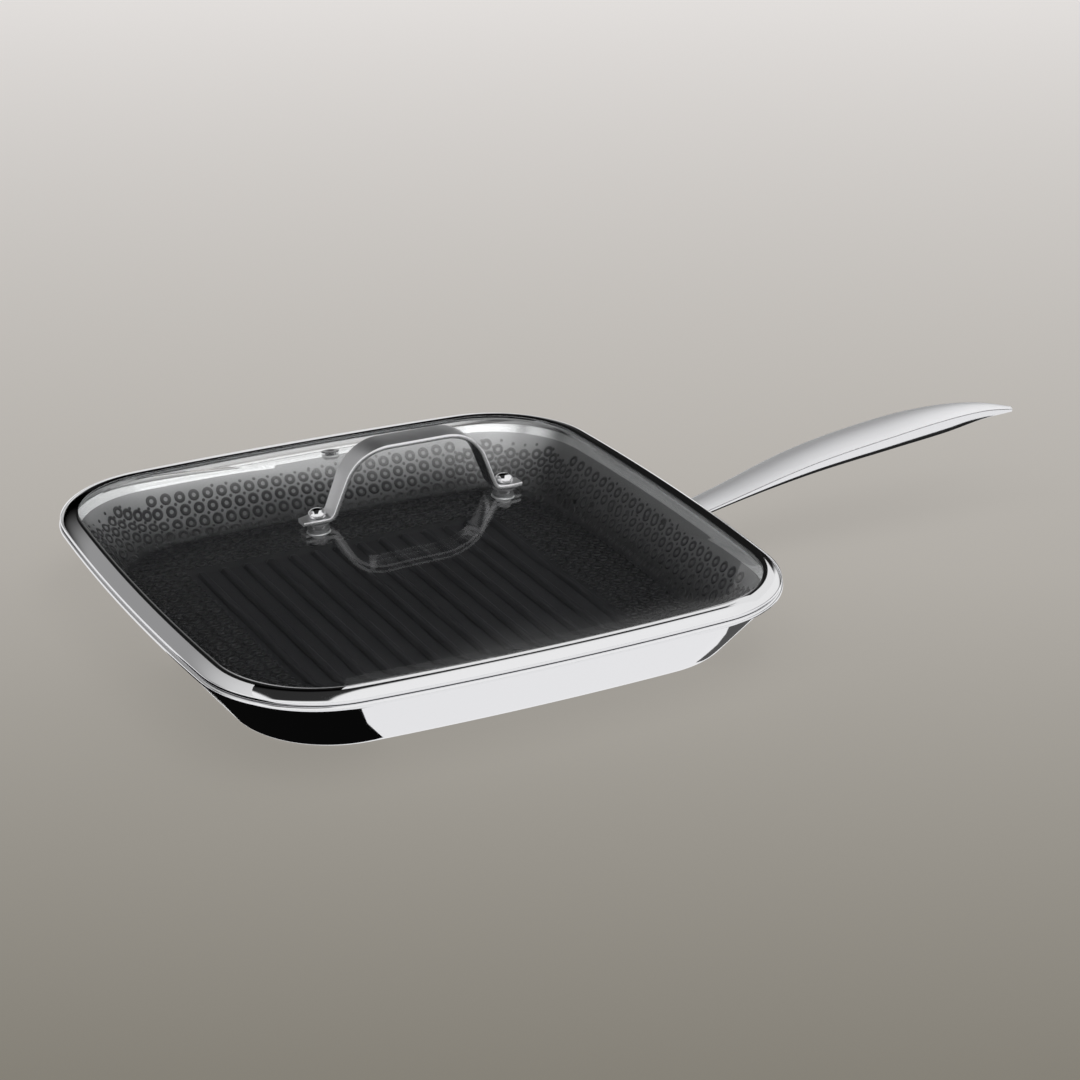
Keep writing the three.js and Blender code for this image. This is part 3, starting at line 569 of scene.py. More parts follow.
def coated(name, shade, roughness, gloss):
    """Grainy black coating; shade gives its colour, and roughness the least and what the grain adds."""
    least, added = roughness

    def describe(nodes):
        place = on_piece(nodes)
        grain = nodes.noise(place, RELIEF_GRAIN)
        return nodes.principled({
            "Base Color": shade(nodes, place, grain), "Roughness": least + grain * added,
            "Specular IOR Level": gloss, "Normal": nodes.bump(grain, *RELIEF_BUMP)})
    return new_finish(name, describe)


def coated_relief():
    """Coating of the rings and dots, paler towards the rim."""
    def shade(nodes, place, grain):
        paler = up_the_wall(nodes, place) * (0.8 + grain * 0.4)
        return nodes.mix(paler, tuple(colours().coat), tuple(colours().ring))
    return coated("coated_relief", shade, roughness=(0.32, 0.10), gloss=0.3)


def coated_ribs():
    """Coating of the ribs, a little paler in its grain."""
    def shade(nodes, place, grain):
        return nodes.mix(grain, toned(colours().coat, 1.4), toned(colours().coat, 2.0))
    return coated("coated_ribs", shade, roughness=(0.42, 0.12), gloss=0.08)


def aluminium_core():
    """Rolled aluminium of the layer between the skins."""
    def describe(nodes):
        rolled = nodes.noise(on_piece(nodes), ROLLED_GRAIN)
        return nodes.principled({
            "Base Color": opaque(colours().core), "Metallic": 1.0, "Roughness": 0.35 + rolled * 0.2})
    return new_finish("rolled_aluminium", describe)


def clear_glass():
    """Clear glass that lets the lamp reach what is under it."""
    def describe(nodes):
        tint = opaque(colours().glass)
        glass = nodes.principled({
            "Base Color": tint, "Roughness": 0.0, "IOR": colours().glass_index, "Transmission Weight": 1.0})
        through = nodes.add("ShaderNodeBsdfTransparent", None, {"Color": tint})
        return nodes.choose(nodes.ray("Is Shadow Ray"), glass, through)
    return new_finish("tempered_glass", describe)


def silicone():
    """Matt grey silicone."""
    def describe(nodes):
        dust = nodes.noise(on_piece(nodes), SILICONE_DUST)
        grey = colours().silicone
        return nodes.principled({
            "Base Color": nodes.mix(dust, toned(grey, 0.85), toned(grey, 1.15)), "Roughness": 0.5 + dust * 0.2})
    return new_finish("grey_silicone", describe)


# Mesh helpers

def linked(name, data):
    """A new object in the scene."""
    thing = bpy.data.objects.new(name, data)
    bpy.context.scene.collection.objects.link(thing)
    return thing


def smoothed(mesh):
    """Shades a mesh smooth but for its sharp edges."""
    mesh.shade_smooth()
    mesh.set_sharp_from_angle(angle=SHARP_ANGLE)


def add_object(name, verts, faces, material):
    """A closed mesh with its faces pointing out, smooth but for its sharp edges."""
    mesh = bpy.data.meshes.new(name)
    mesh.from_pydata([tuple(v) for v in verts], [], faces)
    body = bmesh.new()
    body.from_mesh(mesh)
    bmesh.ops.remove_doubles(body, verts=body.verts, dist=MERGE_DISTANCE)
    if body.calc_volume(signed=True) < 0:
        bmesh.ops.reverse_faces(body, faces=body.faces)
    body.to_mesh(mesh)
    body.free()
    smoothed(mesh)
    mesh.materials.append(material)
    return linked(name, mesh)


def loft(rings, looped=False):
    """Vertices and faces of a skin over rings of equal length: a closed loop of rings, or capped at its ends."""
    count = len(rings[0])
    verts = np.concatenate(rings)
    faces = []
    spans = len(rings) if looped else len(rings) - 1
    around = np.arange(count)
    ahead = (around + 1) % count
    for r in range(spans):
        low = r * count
        high = (r + 1) % len(rings) * count
        faces.extend(np.column_stack([low + around, low + ahead, high + ahead, high + around]).tolist())
    if not looped:
        faces.append(list(range(count))[::-1])
        faces.append(list(range((len(rings) - 1) * count, len(rings) * count)))
    return verts, faces


def prism(outline, low, high):
    """Upright solid over an outline of pairs."""
    return loft([np.array([(x, y, z) for x, y in outline]) for z in (low, high)])


def placed(shape, matrix):
    """A (vertices, faces) shape in its place."""
    verts, faces = shape
    spun = np.array(matrix)
    return verts @ spun[:3, :3].T + spun[:3, 3], faces


def turned(pairs, looped, matrix):
    """Profile of (radius, height) pairs turned about Z and then placed; a point on the axis is a pole."""
    turns = np.linspace(0, 2 * math.pi, TURN_STEPS, endpoint=False)
    circle = np.column_stack([np.cos(turns), np.sin(turns)])
    rings = [np.column_stack([max(radius, POLE_RADIUS) * circle, np.full(TURN_STEPS, height)])
             for radius, height in pairs]
    return placed(loft(rings, looped), matrix)


def arc(centre, radius, start, end, steps):
    """Points of an arc in a profile's plane."""
    turns = np.linspace(start, end, steps + 1)
    return [(centre[0] + radius * math.cos(t), centre[1] + radius * math.sin(t)) for t in turns]


def rectangle(half_x, half_y):
    """Corners of a rectangle about the middle."""
    return [(-half_x, -half_y), (half_x, -half_y), (half_x, half_y), (-half_x, half_y)]


def rounded_rectangle(width, height, corner, steps):
    """Outline of a rectangle with round corners, about the middle."""
    x, y = width / 2 - corner, height / 2 - corner
    outline = []
    for quarter, (sx, sy) in enumerate(((1, 1), (-1, 1), (-1, -1), (1, -1))):
        start = quarter * math.pi / 2
        outline += arc((sx * x, sy * y), corner, start, start + math.pi / 2, steps)
    return outline


def bake_modifiers(piece):
    """Makes a piece's modifiers part of its mesh."""
    graph = bpy.context.evaluated_depsgraph_get()
    mesh = bpy.data.meshes.new_from_object(piece.evaluated_get(graph))
    old = piece.data
    piece.modifiers.clear()
    piece.data = mesh
    bpy.data.meshes.remove(old)


def combine(operation, piece, shapes):
    """Cuts or joins each (vertices, faces) shape."""
    for shape in shapes:
        tool = add_object("tool", *shape, piece.data.materials[0])
        modifier = piece.modifiers.new("combine", "BOOLEAN")
        modifier.operation = operation
        modifier.solver = "EXACT"
        modifier.object = tool
        bake_modifiers(piece)
        smoothed(piece.data)
        discard(tool)


def cut(piece, *shapes):
    combine("DIFFERENCE", piece, shapes)


def join(piece, *shapes):
    combine("UNION", piece, shapes)


def discard(tool):
    mesh = tool.data
    bpy.data.objects.remove(tool)
    bpy.data.meshes.remove(mesh)


def seat(piece, body, slot, *nodes):
    """Rides a finished piece on its body, in the place of the nodes that it stands for."""
    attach(piece, body)
    if nodes:
        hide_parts(*nodes)


# Outlines of the pan and lid

def bowed_square(half, side_radius, corner, z):
    """Square with bowed sides and round corners, at one height."""
    side_centre = half - side_radius
    reach = side_radius - corner
    corner_centre = (side_centre + math.sqrt(2 * reach * reach - side_centre * side_centre)) / 2
    meet = math.atan2(corner_centre, corner_centre - side_centre)
    side = meet * (2 * np.arange(SIDE_STEPS) / SIDE_STEPS - 1)
    bend = meet + (math.pi / 2 - 2 * meet) * np.arange(CORNER_STEPS) / CORNER_STEPS
    x = np.concatenate([side_centre + side_radius * np.cos(side), corner_centre + corner * np.cos(bend)])
    y = np.concatenate([side_radius * np.sin(side), corner_centre + corner * np.sin(bend)])
    quarters = [(x, y), (-y, x), (-x, -y), (y, -x)]
    return np.concatenate([np.column_stack([a, b, np.full(len(a), z)]) for a, b in quarters])


def lip_parallel(pan, half, z):
    """Ring that runs parallel to the lip's edge, at its own half width."""
    inset = pan.lip_half - half
    return bowed_square(half, pan.side_radius - inset, pan.lip_corner - inset, z)


class Wall:
    """The pan's leaning wall, worked out from the sizes that drive it."""

    def __init__(self, pan):
        self.pan = pan
        self.thickness = 2 * pan.skin + pan.core + 2 * pan.bond
        self.edge_radius = self.thickness / 2
        self.fillet_centre = np.array([pan.base_half, pan.fillet])
        self.edge_centre = np.array([pan.lip_half - self.edge_radius, pan.height - self.edge_radius])
        self.flare_centre = np.array([self.edge_centre[0] - pan.lip_flat,
                                      pan.height - self.thickness - pan.flare])
        across, up = self.flare_centre - self.fillet_centre
        grip = math.asin((pan.fillet + pan.flare) / math.hypot(across, up))
        self.lean = math.atan2(across, up) - grip

    def half(self, z, depth):
        """Half width of the wall's straight stretch at a height, at a depth into its thickness."""
        radius = self.pan.fillet - depth
        foot = self.fillet_centre[0] + radius * math.cos(self.lean)
        level = self.fillet_centre[1] - radius * math.sin(self.lean)
        return foot + (z - level) * math.tan(self.lean)

    def fillet_stations(self):
        """Outer points of the base fillet, each with the inward normal there."""
        for turn in np.linspace(0, math.pi / 2 - self.lean, FILLET_STEPS + 1):
            inward = np.array([-math.sin(turn), math.cos(turn)])
            yield self.fillet_centre - self.pan.fillet * inward, inward

    def flare_stations(self):
        for turn in np.linspace(math.pi / 2 - self.lean, 0, FLARE_STEPS + 1):
            inward = np.array([-math.sin(turn), math.cos(turn)])
            yield self.flare_centre + self.pan.flare * inward, inward

    def ring(self, point, inward, depth):
        pan = self.pan
        along = (point[0] - pan.base_half) / (self.edge_centre[0] - pan.base_half)
        edge_corner = pan.lip_corner - self.edge_radius
        shift = depth * inward[0]
        corner = pan.base_corner + (edge_corner - pan.base_corner) * along + shift
        side_radius = pan.side_radius - (pan.lip_half - point[0]) + shift
        return bowed_square(point[0] + shift, side_radius, corner, point[1] + depth * inward[1])

    def rings(self, depth):
        """The wall's rings at one depth into its thickness, base to lip."""
        stations = [*self.fillet_stations(), *self.flare_stations()]
        return [self.ring(point, inward, depth) for point, inward in stations]

    def edge_rings(self, radius):
        """The lip's rolled edge at one radius, from below to above."""
        points = arc(self.edge_centre, radius, -math.pi / 2, math.pi / 2, EDGE_STEPS)
        return [lip_parallel(self.pan, x, z) for x, z in points]

    def lower_rings(self, depth, top, steps):
        """Rings from the floor up to a height on the straight stretch, at one depth."""
        stations = list(self.fillet_stations())
        point, inward = stations[-1]
        slope = np.array([math.sin(self.lean), math.cos(self.lean)])
        length = (top - (point[1] + depth * inward[1])) / slope[1]
        stations += [(point + slope * length * (i + 1) / steps, inward) for i in range(steps)]
        return [self.ring(point, inward, depth) for point, inward in stations]


class PressedSheet:
    """The coated inside, addressed as the flat sheet that it was pressed from."""

    def __init__(self, wall):
        pan = wall.pan
        depth = wall.thickness + pan.coat
        self.grid = np.stack(wall.lower_rings(depth, pan.height - pan.bare_rim, WALL_STEPS))
        middle = SIDE_STEPS // 2
        steps = np.linalg.norm(np.diff(self.grid[:, middle], axis=0), axis=1)
        self.reach = np.concatenate([[0.0], np.cumsum(steps)])
        around = np.roll(self.grid, -1, axis=1) - np.roll(self.grid, 1, axis=1)
        up = np.gradient(self.grid, axis=0)
        normal = np.cross(around, up)
        normal *= np.sign(normal[..., 2:3])
        self.normal = normal / np.linalg.norm(normal, axis=2, keepdims=True)

    def place(self, flat, margin):
        """Positions and normals of flat points, without those nearer to the coating's end than a margin."""
        start = self.grid[0, :, :2]
        step = np.roll(start, -1, axis=0) - start
        offset = flat[:, None, :] - start[None]
        t = np.clip((offset * step).sum(2) / (step * step).sum(1), 0, 1)
        gap = offset - t[..., None] * step
        distance = np.linalg.norm(gap, axis=2)
        nearest = distance.argmin(1)
        rows = np.arange(len(flat))
        outward = np.column_stack([step[nearest, 1], -step[nearest, 0]])
        outside = (gap[rows, nearest] * outward).sum(1) > 0
        reach = np.where(outside, distance[rows, nearest], 0.0)
        kept = reach <= self.reach[-1] - margin
        level = np.interp(reach, self.reach, np.arange(len(self.reach)))
        along = nearest + t[rows, nearest]
        point = self.blend(self.grid, level, along)
        normal = self.blend(self.normal, level, along)
        floor = np.column_stack([flat, np.full(len(flat), self.grid[0, 0, 2])])
        up = np.broadcast_to([0.0, 0.0, 1.0], floor.shape)
        point = np.where(outside[:, None], point, floor)
        normal = np.where(outside[:, None], normal, up)
        normal = normal / np.linalg.norm(normal, axis=1, keepdims=True)
        return point[kept], normal[kept]

    @staticmethod
    def blend(grid, level, along):
        low = np.clip(level.astype(int), 0, len(grid) - 2)
        rise = (level - low)[:, None]
        left = along.astype(int) % grid.shape[1]
        right = (left + 1) % grid.shape[1]
        turn = (along - along.astype(int))[:, None]
        lower = grid[low, left] * (1 - turn) + grid[low, right] * turn
        upper = grid[low + 1, left] * (1 - turn) + grid[low + 1, right] * turn
        return lower * (1 - rise) + upper * rise


# Pan

class GRILLPAN_OT_pan_sheets(bpy.types.Operator):
    """Outer skin, core and inner skin of the pan, and the coating on its inside"""

    bl_idname = "grill_pan.pan_sheets"
    bl_label = "Pan sheets"

    def execute(self, context):
        pan = context.scene.grill_pan.pan
        wall = Wall(pan)
        outside = wall.rings(0) + wall.edge_rings(wall.edge_radius)
        inside = wall.rings(pan.skin) + wall.edge_rings(wall.edge_radius - pan.skin)
        skin = add_object("pan_outer_sheet", *loft(outside + inside[::-1]), polished("mirror_polish"))
        seat(skin, "pan", "polished_steel", "pan_outer_skin")

        low = pan.skin + pan.bond
        rolled = wall.edge_rings(pan.core / 2)
        core = add_object("pan_core_sheet", *loft(wall.rings(low) + rolled + wall.rings(low + pan.core)[::-1]),
                          aluminium_core())
        seat(core, "pan", "aluminium_core", "pan_core")

        ledge = wall.edge_centre[0] - pan.bond
        outside = wall.rings(wall.thickness - pan.skin) + [lip_parallel(pan, ledge, pan.height - pan.skin)]
        inside = wall.rings(wall.thickness) + [lip_parallel(pan, ledge, pan.height)]
        inner = add_object("pan_inner_sheet", *loft(outside + inside[::-1]), rim_polish())
        seat(inner, "pan", "nonstick_steel", "pan_inner_skin")

        top = pan.height - pan.bare_rim
        under = wall.lower_rings(wall.thickness + pan.coat / 4, top, 1)
        over = wall.lower_rings(wall.thickness + pan.coat, top, 1)
        coat = add_object("nonstick_coat", *loft(under + over[::-1]), coated_inside())
        seat(coat, "pan", "nonstick_steel")
        return {"FINISHED"}


def node_group(name, inputs):
    """An empty geometry tree with a geometry in and out and named inputs; gives its nodes and inputs."""
    tree = bpy.data.node_groups.new(name, "GeometryNodeTree")
    for side in ("INPUT", "OUTPUT"):
        tree.interface.new_socket("Geometry", in_out=side, socket_type="NodeSocketGeometry")
    for label, kind in inputs.items():
        tree.interface.new_socket(label, in_out="INPUT", socket_type="NodeSocket" + kind)
    nodes = Nodes(tree)
    entry = tree.nodes.new("NodeGroupInput")
    return nodes, {socket.name: Socket(nodes, socket) for socket in entry.outputs if socket.name}


def close_group(nodes, instances, material):
    """Ends a geometry tree: instances made real, shaded smooth and given their material."""
    real = nodes.add("GeometryNodeRealizeInstances", None, {"Geometry": instances})
    smooth = nodes.add("GeometryNodeSetShadeSmooth", None, {"Geometry": real})
    painted = nodes.add("GeometryNodeSetMaterial", None, {"Geometry": smooth, "Material": material})
    nodes.add("NodeGroupOutput", None, {"Geometry": painted})
    return nodes


def grown(name, mesh, nodes, values):
    """A plain mesh piece that a geometry tree grows from a mesh, with the tree's inputs set."""
    piece = linked(name, mesh)
    modifier = piece.modifiers.new("grow", "NODES")
    modifier.node_group = nodes.tree
    for item in nodes.tree.interface.items_tree:
        if item.in_out == "INPUT" and item.name in values:
            modifier[item.identifier] = values[item.name]
    bake_modifiers(piece)
    return piece


def point_mesh(points, facing):
    """Loose points, each with the direction that it faces."""
    mesh = bpy.data.meshes.new("points")
    mesh.from_pydata([tuple(p) for p in points], [], [])
    attribute = mesh.attributes.new("facing", "FLOAT_VECTOR", "POINT")
    attribute.data.foreach_set("vector", facing.astype(np.float32).ravel())
    return mesh


def studded(nodes, given, shape, flatness, material):
    """Ends a geometry tree with one flattened shape on every point, standing the way that the point faces."""
    squash = nodes.add("ShaderNodeCombineXYZ", None, {"X": 1.0, "Y": 1.0, "Z": flatness})
    flat = nodes.add("GeometryNodeTransform", None, {"Geometry": shape, "Scale": squash})
    facing = nodes.add("GeometryNodeInputNamedAttribute", {"data_type": "FLOAT_VECTOR"}, {"Name": "facing"})
    turn = nodes.add("FunctionNodeAlignRotationToVector", {"axis": "Z"}, {"Vector": facing})
    many = nodes.add("GeometryNodeInstanceOnPoints", None,
                     {"Points": given["Geometry"], "Instance": flat, "Rotation": turn})
    return close_group(nodes, many, material)


def ring_tree(material):
    """Rings of a round band, flattened to their height, one on every point."""
    nodes, given = node_group("relief_rings", {"Ring Radius": "Float", "Band": "Float", "Height": "Float"})
    path, section = [nodes.add("GeometryNodeCurvePrimitiveCircle", {"mode": "RADIUS"},
                               {"Resolution": sides, "Radius": radius})
                     for sides, radius in ((RING_SIDES, given["Ring Radius"]),
                                           (RING_BAND_SIDES, given["Band"] / 2.0))]
    band = nodes.add("GeometryNodeCurveToMesh", None, {"Curve": path, "Profile Curve": section})
    return studded(nodes, given, band, given["Height"] / given["Band"] * 2.0, material)


def dot_tree(material):
    """Low round dots, one on every point."""
    nodes, given = node_group("relief_dots", {"Dot Radius": "Float", "Height": "Float"})
    ball = nodes.add("GeometryNodeMeshUVSphere", None,
                     {"Segments": DOT_SIDES, "Rings": DOT_RINGS, "Radius": given["Dot Radius"]})
    return studded(nodes, given, ball, given["Height"] / given["Dot Radius"], material)


def row_tree(material):
    """A row of copies of one shape, evenly spaced along X about the middle."""
    nodes, given = node_group("rib_row", {"Count": "Int", "Pitch": "Float"})
    first = (1.0 - given["Count"]) * given["Pitch"] / 2.0
    start = nodes.add("ShaderNodeCombineXYZ", None, {"X": first})
    step = nodes.add("ShaderNodeCombineXYZ", None, {"X": given["Pitch"]})
    line = nodes.add("GeometryNodeMeshLine", {"mode": "OFFSET"},
                     {"Count": given["Count"], "Start Location": start, "Offset": step})
    many = nodes.add("GeometryNodeInstanceOnPoints", None, {"Points": line, "Instance": given["Geometry"]})
    return close_group(nodes, many, material)


def rib_shape(relief, floor):
    """One rib along Y with a rounded crest and rounded ends."""
    sunk = 0.0003
    crest_spread = 1.15
    crest_drop = 0.16
    end_start = 0.02
    foot = relief.rib_foot / 2
    flank = (relief.rib_foot - relief.rib_crest) / 2
    section = [(-foot, -sunk), (-foot, 0.0)]
    for t in np.linspace(-1, 1, 2 * RIB_CREST_STEPS + 1):
        section.append((relief.rib_crest / 2 * t * crest_spread, relief.rib_height * (1 - crest_drop * t ** 4)))
    x, z = np.array([*section, (foot, 0.0), (foot, -sunk)]).T
    stations = []
    for t in np.linspace(end_start, 1, RIB_END_STEPS):
        stations.append((-relief.rib_length / 2 + (foot + flank) * t, math.sqrt(1 - (1 - t) ** 2)))
    stations += [(-y, swell) for y, swell in stations[::-1]]
    return loft([np.column_stack([x * swell, np.full(len(x), y), floor + np.where(z > 0, z * swell, z)])
                 for y, swell in stations])


class GRILLPAN_OT_relief(bpy.types.Operator):
    """Raised ribs on the floor, and rings and dots around them and up the wall"""

    bl_idname = "grill_pan.relief"
    bl_label = "Relief of the inside"

    def execute(self, context):
        settings = context.scene.grill_pan
        relief = settings.relief
        wall = Wall(settings.pan)
        sheet = PressedSheet(wall)
        count = int((settings.pan.base_half + sheet.reach[-1]) / relief.pitch) + 1
        lattice = np.arange(-count, count + 1) * relief.pitch
        cells = np.stack(np.meshgrid(lattice, lattice), axis=-1).reshape(-1, 2)
        half_row = relief.rib_pitch * (relief.rib_count - 1) / 2 + relief.rib_foot / 2
        for name, shift, radius, tree, values in (
            ("relief_rings", 0.0, relief.ring_radius + relief.ring_band / 2, ring_tree(coated_relief()),
             {"Ring Radius": relief.ring_radius, "Band": relief.ring_band, "Height": relief.ring_height}),
            ("relief_dots", relief.pitch / 2, relief.dot_radius, dot_tree(coated_relief()),
             {"Dot Radius": relief.dot_radius, "Height": relief.dot_height}),
        ):
            flat = cells + shift
            clear = radius + relief.rib_foot / 4
            ribbed = (abs(flat) < (half_row + clear, relief.rib_length / 2 + clear)).all(axis=1)
            points = point_mesh(*sheet.place(flat[~ribbed], radius + relief.ring_margin))
            seat(grown(name, points, tree, values), "pan", "nonstick_steel")

        rib = bpy.data.meshes.new("rib")
        verts, faces = rib_shape(relief, wall.thickness + settings.pan.coat)
        rib.from_pydata([tuple(v) for v in verts], [], faces)
        ribs = grown("grill_ribs", rib, row_tree(coated_ribs()),
                     {"Count": relief.rib_count, "Pitch": relief.rib_pitch})
        ribs.data.set_sharp_from_angle(angle=SHARP_ANGLE)
        seat(ribs, "pan", "nonstick_steel")
        return {"FINISHED"}


# Handle

class HandleForm:
    """The handle's section at any reach, from its stations."""

    def __init__(self, settings):
        self.sizes = settings.handle
        self.pan = settings.pan
        self.wall = Wall(settings.pan)
        self.root = self.wall.half(self.pan.height + HANDLE_ROOT[0], 0) - self.pan.lip_half
        self.stations = np.array([(self.root, *HANDLE_ROOT), *HANDLE_STATIONS])
        self.start = self.root - HANDLE_ROOT[2] - HANDLE_ROOT[3]
        self.tip = self.stations[-1, 0]

    def at(self, reach):
        """Seam height, half width, crown and depth at a reach: smooth, and straight before its start."""
        rows = self.stations
        i = int(np.clip(np.searchsorted(rows[:, 0], reach) - 1, 0, len(rows) - 2))
        a, b = rows[i], rows[i + 1]
        before, after = rows[max(i - 1, 0)], rows[min(i + 2, len(rows) - 1)]
        span = b[0] - a[0]
        slope_a = (b - before) / (b[0] - before[0]) * span
        slope_b = (after - a) / (after[0] - a[0]) * span
        t = (reach - a[0]) / span
        if t < 0:
            return (a + slope_a * t)[1:]
        rise = t * t * (3 - 2 * t)
        return (a + (b - a) * rise + slope_a * t * (1 - t) ** 2 - slope_b * t * t * (1 - t))[1:]

    def section(self, reach, inset, side, past):
        """Half of the section as a closed ring: the crowned top (side 1) or the boxy underside (side -1)."""
        seam, width, crown, depth = self.at(reach)
        width -= inset
        tall = (crown if side > 0 else depth) - inset
        edge = self.sizes.seam / 2
        turns = np.linspace(0, math.pi, SECTION_STEPS + 1)
        across, up = np.cos(turns), np.sin(turns)
        if side > 0:
            y, rise = across, 1 - across * across
        else:
            square = 2 / self.sizes.boxiness
            y, rise = np.sign(across) * np.abs(across) ** square, np.abs(up) ** square
        level = edge + (tall - edge) * rise
        y = width * y
        if past > 0:
            y = np.append(y, [-width, width])
            level = np.append(level, [-past, -past])
        x = np.full(len(y), self.pan.lip_half + reach)
        return np.column_stack([x, y, self.pan.height + seam + side * level])

    def body(self, inset, side, start, end, past=0.0):
        reaches = np.linspace(start, end, HANDLE_STEPS + 1)
        return loft([self.section(reach, inset, side, past) for reach in reaches])

    def on_wall(self):
        """Frame on the wall under the handle: X across, Y up the slope, Z out of the wall."""
        lean = self.wall.lean
        level = self.pan.height - self.sizes.plate_drop
        turn = Matrix(((0, math.sin(lean), math.cos(lean)), (1, 0, 0), (0, math.cos(lean), -math.sin(lean))))
        return Matrix.Translation((self.wall.half(level, 0), 0, level)) @ turn.to_4x4()

    def inside_of_wall(self, distance):
        """Block of everything nearer to the wall than a distance."""
        half = 2 * self.sizes.plate_width
        return placed(prism(rectangle(half, half), distance - 2 * half, distance), self.on_wall())


class GRILLPAN_OT_handle(bpy.types.Operator):
    """Two pressed shells of the long handle, and the bracket that holds them on the wall"""

    bl_idname = "grill_pan.handle"
    bl_label = "Handle"

    def execute(self, context):
        settings = context.scene.grill_pan
        sizes = settings.handle
        form = HandleForm(settings)
        face = 2 * sizes.weld + sizes.plate
        hollow_end = form.tip - sizes.solid_tip
        # The top shell's brighter finish is painted light on the handle's top
        for name, side, node, finish in (("handle_top", 1, "handle_upper_shell", "handle_satin_painted_light"),
                                         ("handle_underside", -1, "handle_lower_shell", "handle_polish")):
            shell = add_object(name, *form.body(0, side, form.start, form.tip), polished(finish))
            hollow = form.body(sizes.sheet, side, form.start - sizes.sheet, hollow_end, sizes.sheet)
            cut(shell, hollow, form.inside_of_wall(face))
            seat(shell, "pan", "polished_steel", node)

        outline = rounded_rectangle(sizes.plate_width, sizes.plate_height, sizes.plate_corner,
                                    PLATE_CORNER_STEPS)
        flat = prism(outline, sizes.weld, sizes.weld + sizes.plate)
        plate = add_object("bracket_plate", *placed(flat, form.on_wall()), satin_steel())
        inset = sizes.sheet + sizes.tongue_clearance
        upper, lower = [form.body(inset, side, form.start, sizes.tongue, sizes.seam) for side in (1, -1)]
        tongue = add_object("tongue", *upper, satin_steel())
        join(tongue, lower)
        cut(tongue, form.inside_of_wall(sizes.weld + sizes.plate / 2))
        mesh = tongue.data
        join(plate, ([tuple(v.co) for v in mesh.vertices], [list(p.vertices) for p in mesh.polygons]))
        discard(tongue)
        seat(plate, "pan", "satin_steel", "handle_bracket")
        return {"FINISHED"}


# Lid

class LidForm:
    """Heights and frames of the lid, from the sizes that drive it."""

    def __init__(self, settings):
        self.pan = settings.pan
        self.lid = settings.lid
        self.wall = Wall(settings.pan)
        lid = settings.lid
        self.band_low = self.pan.height + lid.seat
        self.glass_low = self.band_low + lid.sheet + lid.glass_gap
        self.glass_high = self.glass_low + lid.glass
        self.band_inner = BAND_HALF - lid.band_top
        self.dome_half = self.band_inner - lid.flat
        self.rise = DOME_TOP - self.glass_high
        spread = Vector((math.cos(lid.shoulder_turn), math.sin(lid.shoulder_turn)))
        spread *= lid.band_crown - lid.band_shoulder
        across = BAND_HALF - lid.band_shoulder - spread.x
        drop = math.sqrt((lid.band_crown - lid.sheet) ** 2 - (across - self.band_inner) ** 2)
        self.crown = Vector((across, self.glass_high + lid.glass_gap - drop))
        self.shoulder = self.crown + spread

    def band_top(self, depth):
        """Profile of the band's shoulder and crown at a depth into its sheet, from its face inwards."""
        lid = self.lid
        radius = lid.band_crown - depth
        end = math.acos((self.band_inner - self.crown.x) / radius)
        return [*arc(self.shoulder, lid.band_shoulder - depth, 0, lid.shoulder_turn, FLARE_STEPS),
                *arc(self.crown, radius, lid.shoulder_turn, end, CROWN_STEPS)[1:]]

    def height(self, reach):
        return self.glass_high + self.rise * (1 - (reach / self.dome_half) ** self.lid.power)

    def tilt(self, reach):
        lid = self.lid
        return math.atan(self.rise * lid.power * (reach / self.dome_half) ** (lid.power - 1) / self.dome_half)

    def frame(self, reach, heading):
        """Frame on the glass's top, Z along its normal, placed along the heading from the lid's middle."""
        turn = Matrix.Rotation(heading, 4, "Z")
        place = Matrix.Translation((reach, 0, self.height(reach)))
        return turn @ place @ Matrix.Rotation(self.tilt(reach), 4, "Y")

    def dome_ring(self, part, drop):
        inset = self.pan.lip_half - self.dome_half
        rim_corner = self.pan.lip_corner - inset
        corner = rim_corner + (self.dome_half - rim_corner) * self.lid.rounding * (1 - part * part)
        return bowed_square(self.dome_half * part, (self.pan.side_radius - inset) * part, corner * part,
                            self.height(part * self.dome_half) - drop)


class Stack:
    """Heights along a foot's or the vent's axis, zero at the glass's top."""

    def __init__(self, settings):
        sizes = settings.fastener
        gap = sizes.gap
        self.sizes = sizes
        self.pad_low = gap
        self.pad_high = self.pad_low + sizes.pad
        self.foot_low = self.pad_high + gap
        self.foot_high = self.foot_low + settings.strap.sheet
        self.nut_low = self.foot_high + gap
        self.nut_high = self.nut_low + sizes.nut_rim + sizes.nut_dome
        self.under_high = -settings.lid.glass - gap
        self.under_low = self.under_high - sizes.pad
        self.washer_high = self.under_low - gap
        self.washer_low = self.washer_high - sizes.washer
        self.head_high = self.washer_low - gap
        self.head_low = self.head_high - sizes.head
        self.hole = sizes.screw + sizes.clearance
        self.sleeve = self.hole + sizes.sleeve
        self.glass_hole = self.sleeve + gap
        self.tube = sizes.vent_bore + sizes.vent_wall
        self.vent_hole = self.tube + sizes.clearance


def feet(settings):
    """Name and frame of each foot."""
    form = LidForm(settings)
    reach = settings.strap.foot_reach
    return {"left": form.frame(reach, math.pi), "right": form.frame(reach, 0.0)}


def vent_frame(settings):
    return LidForm(settings).frame(settings.fastener.vent_reach, math.pi / 2)


def rod(radius, low, high, matrix):
    return turned([(0, low), (radius, low), (radius, high), (0, high)], False, matrix)


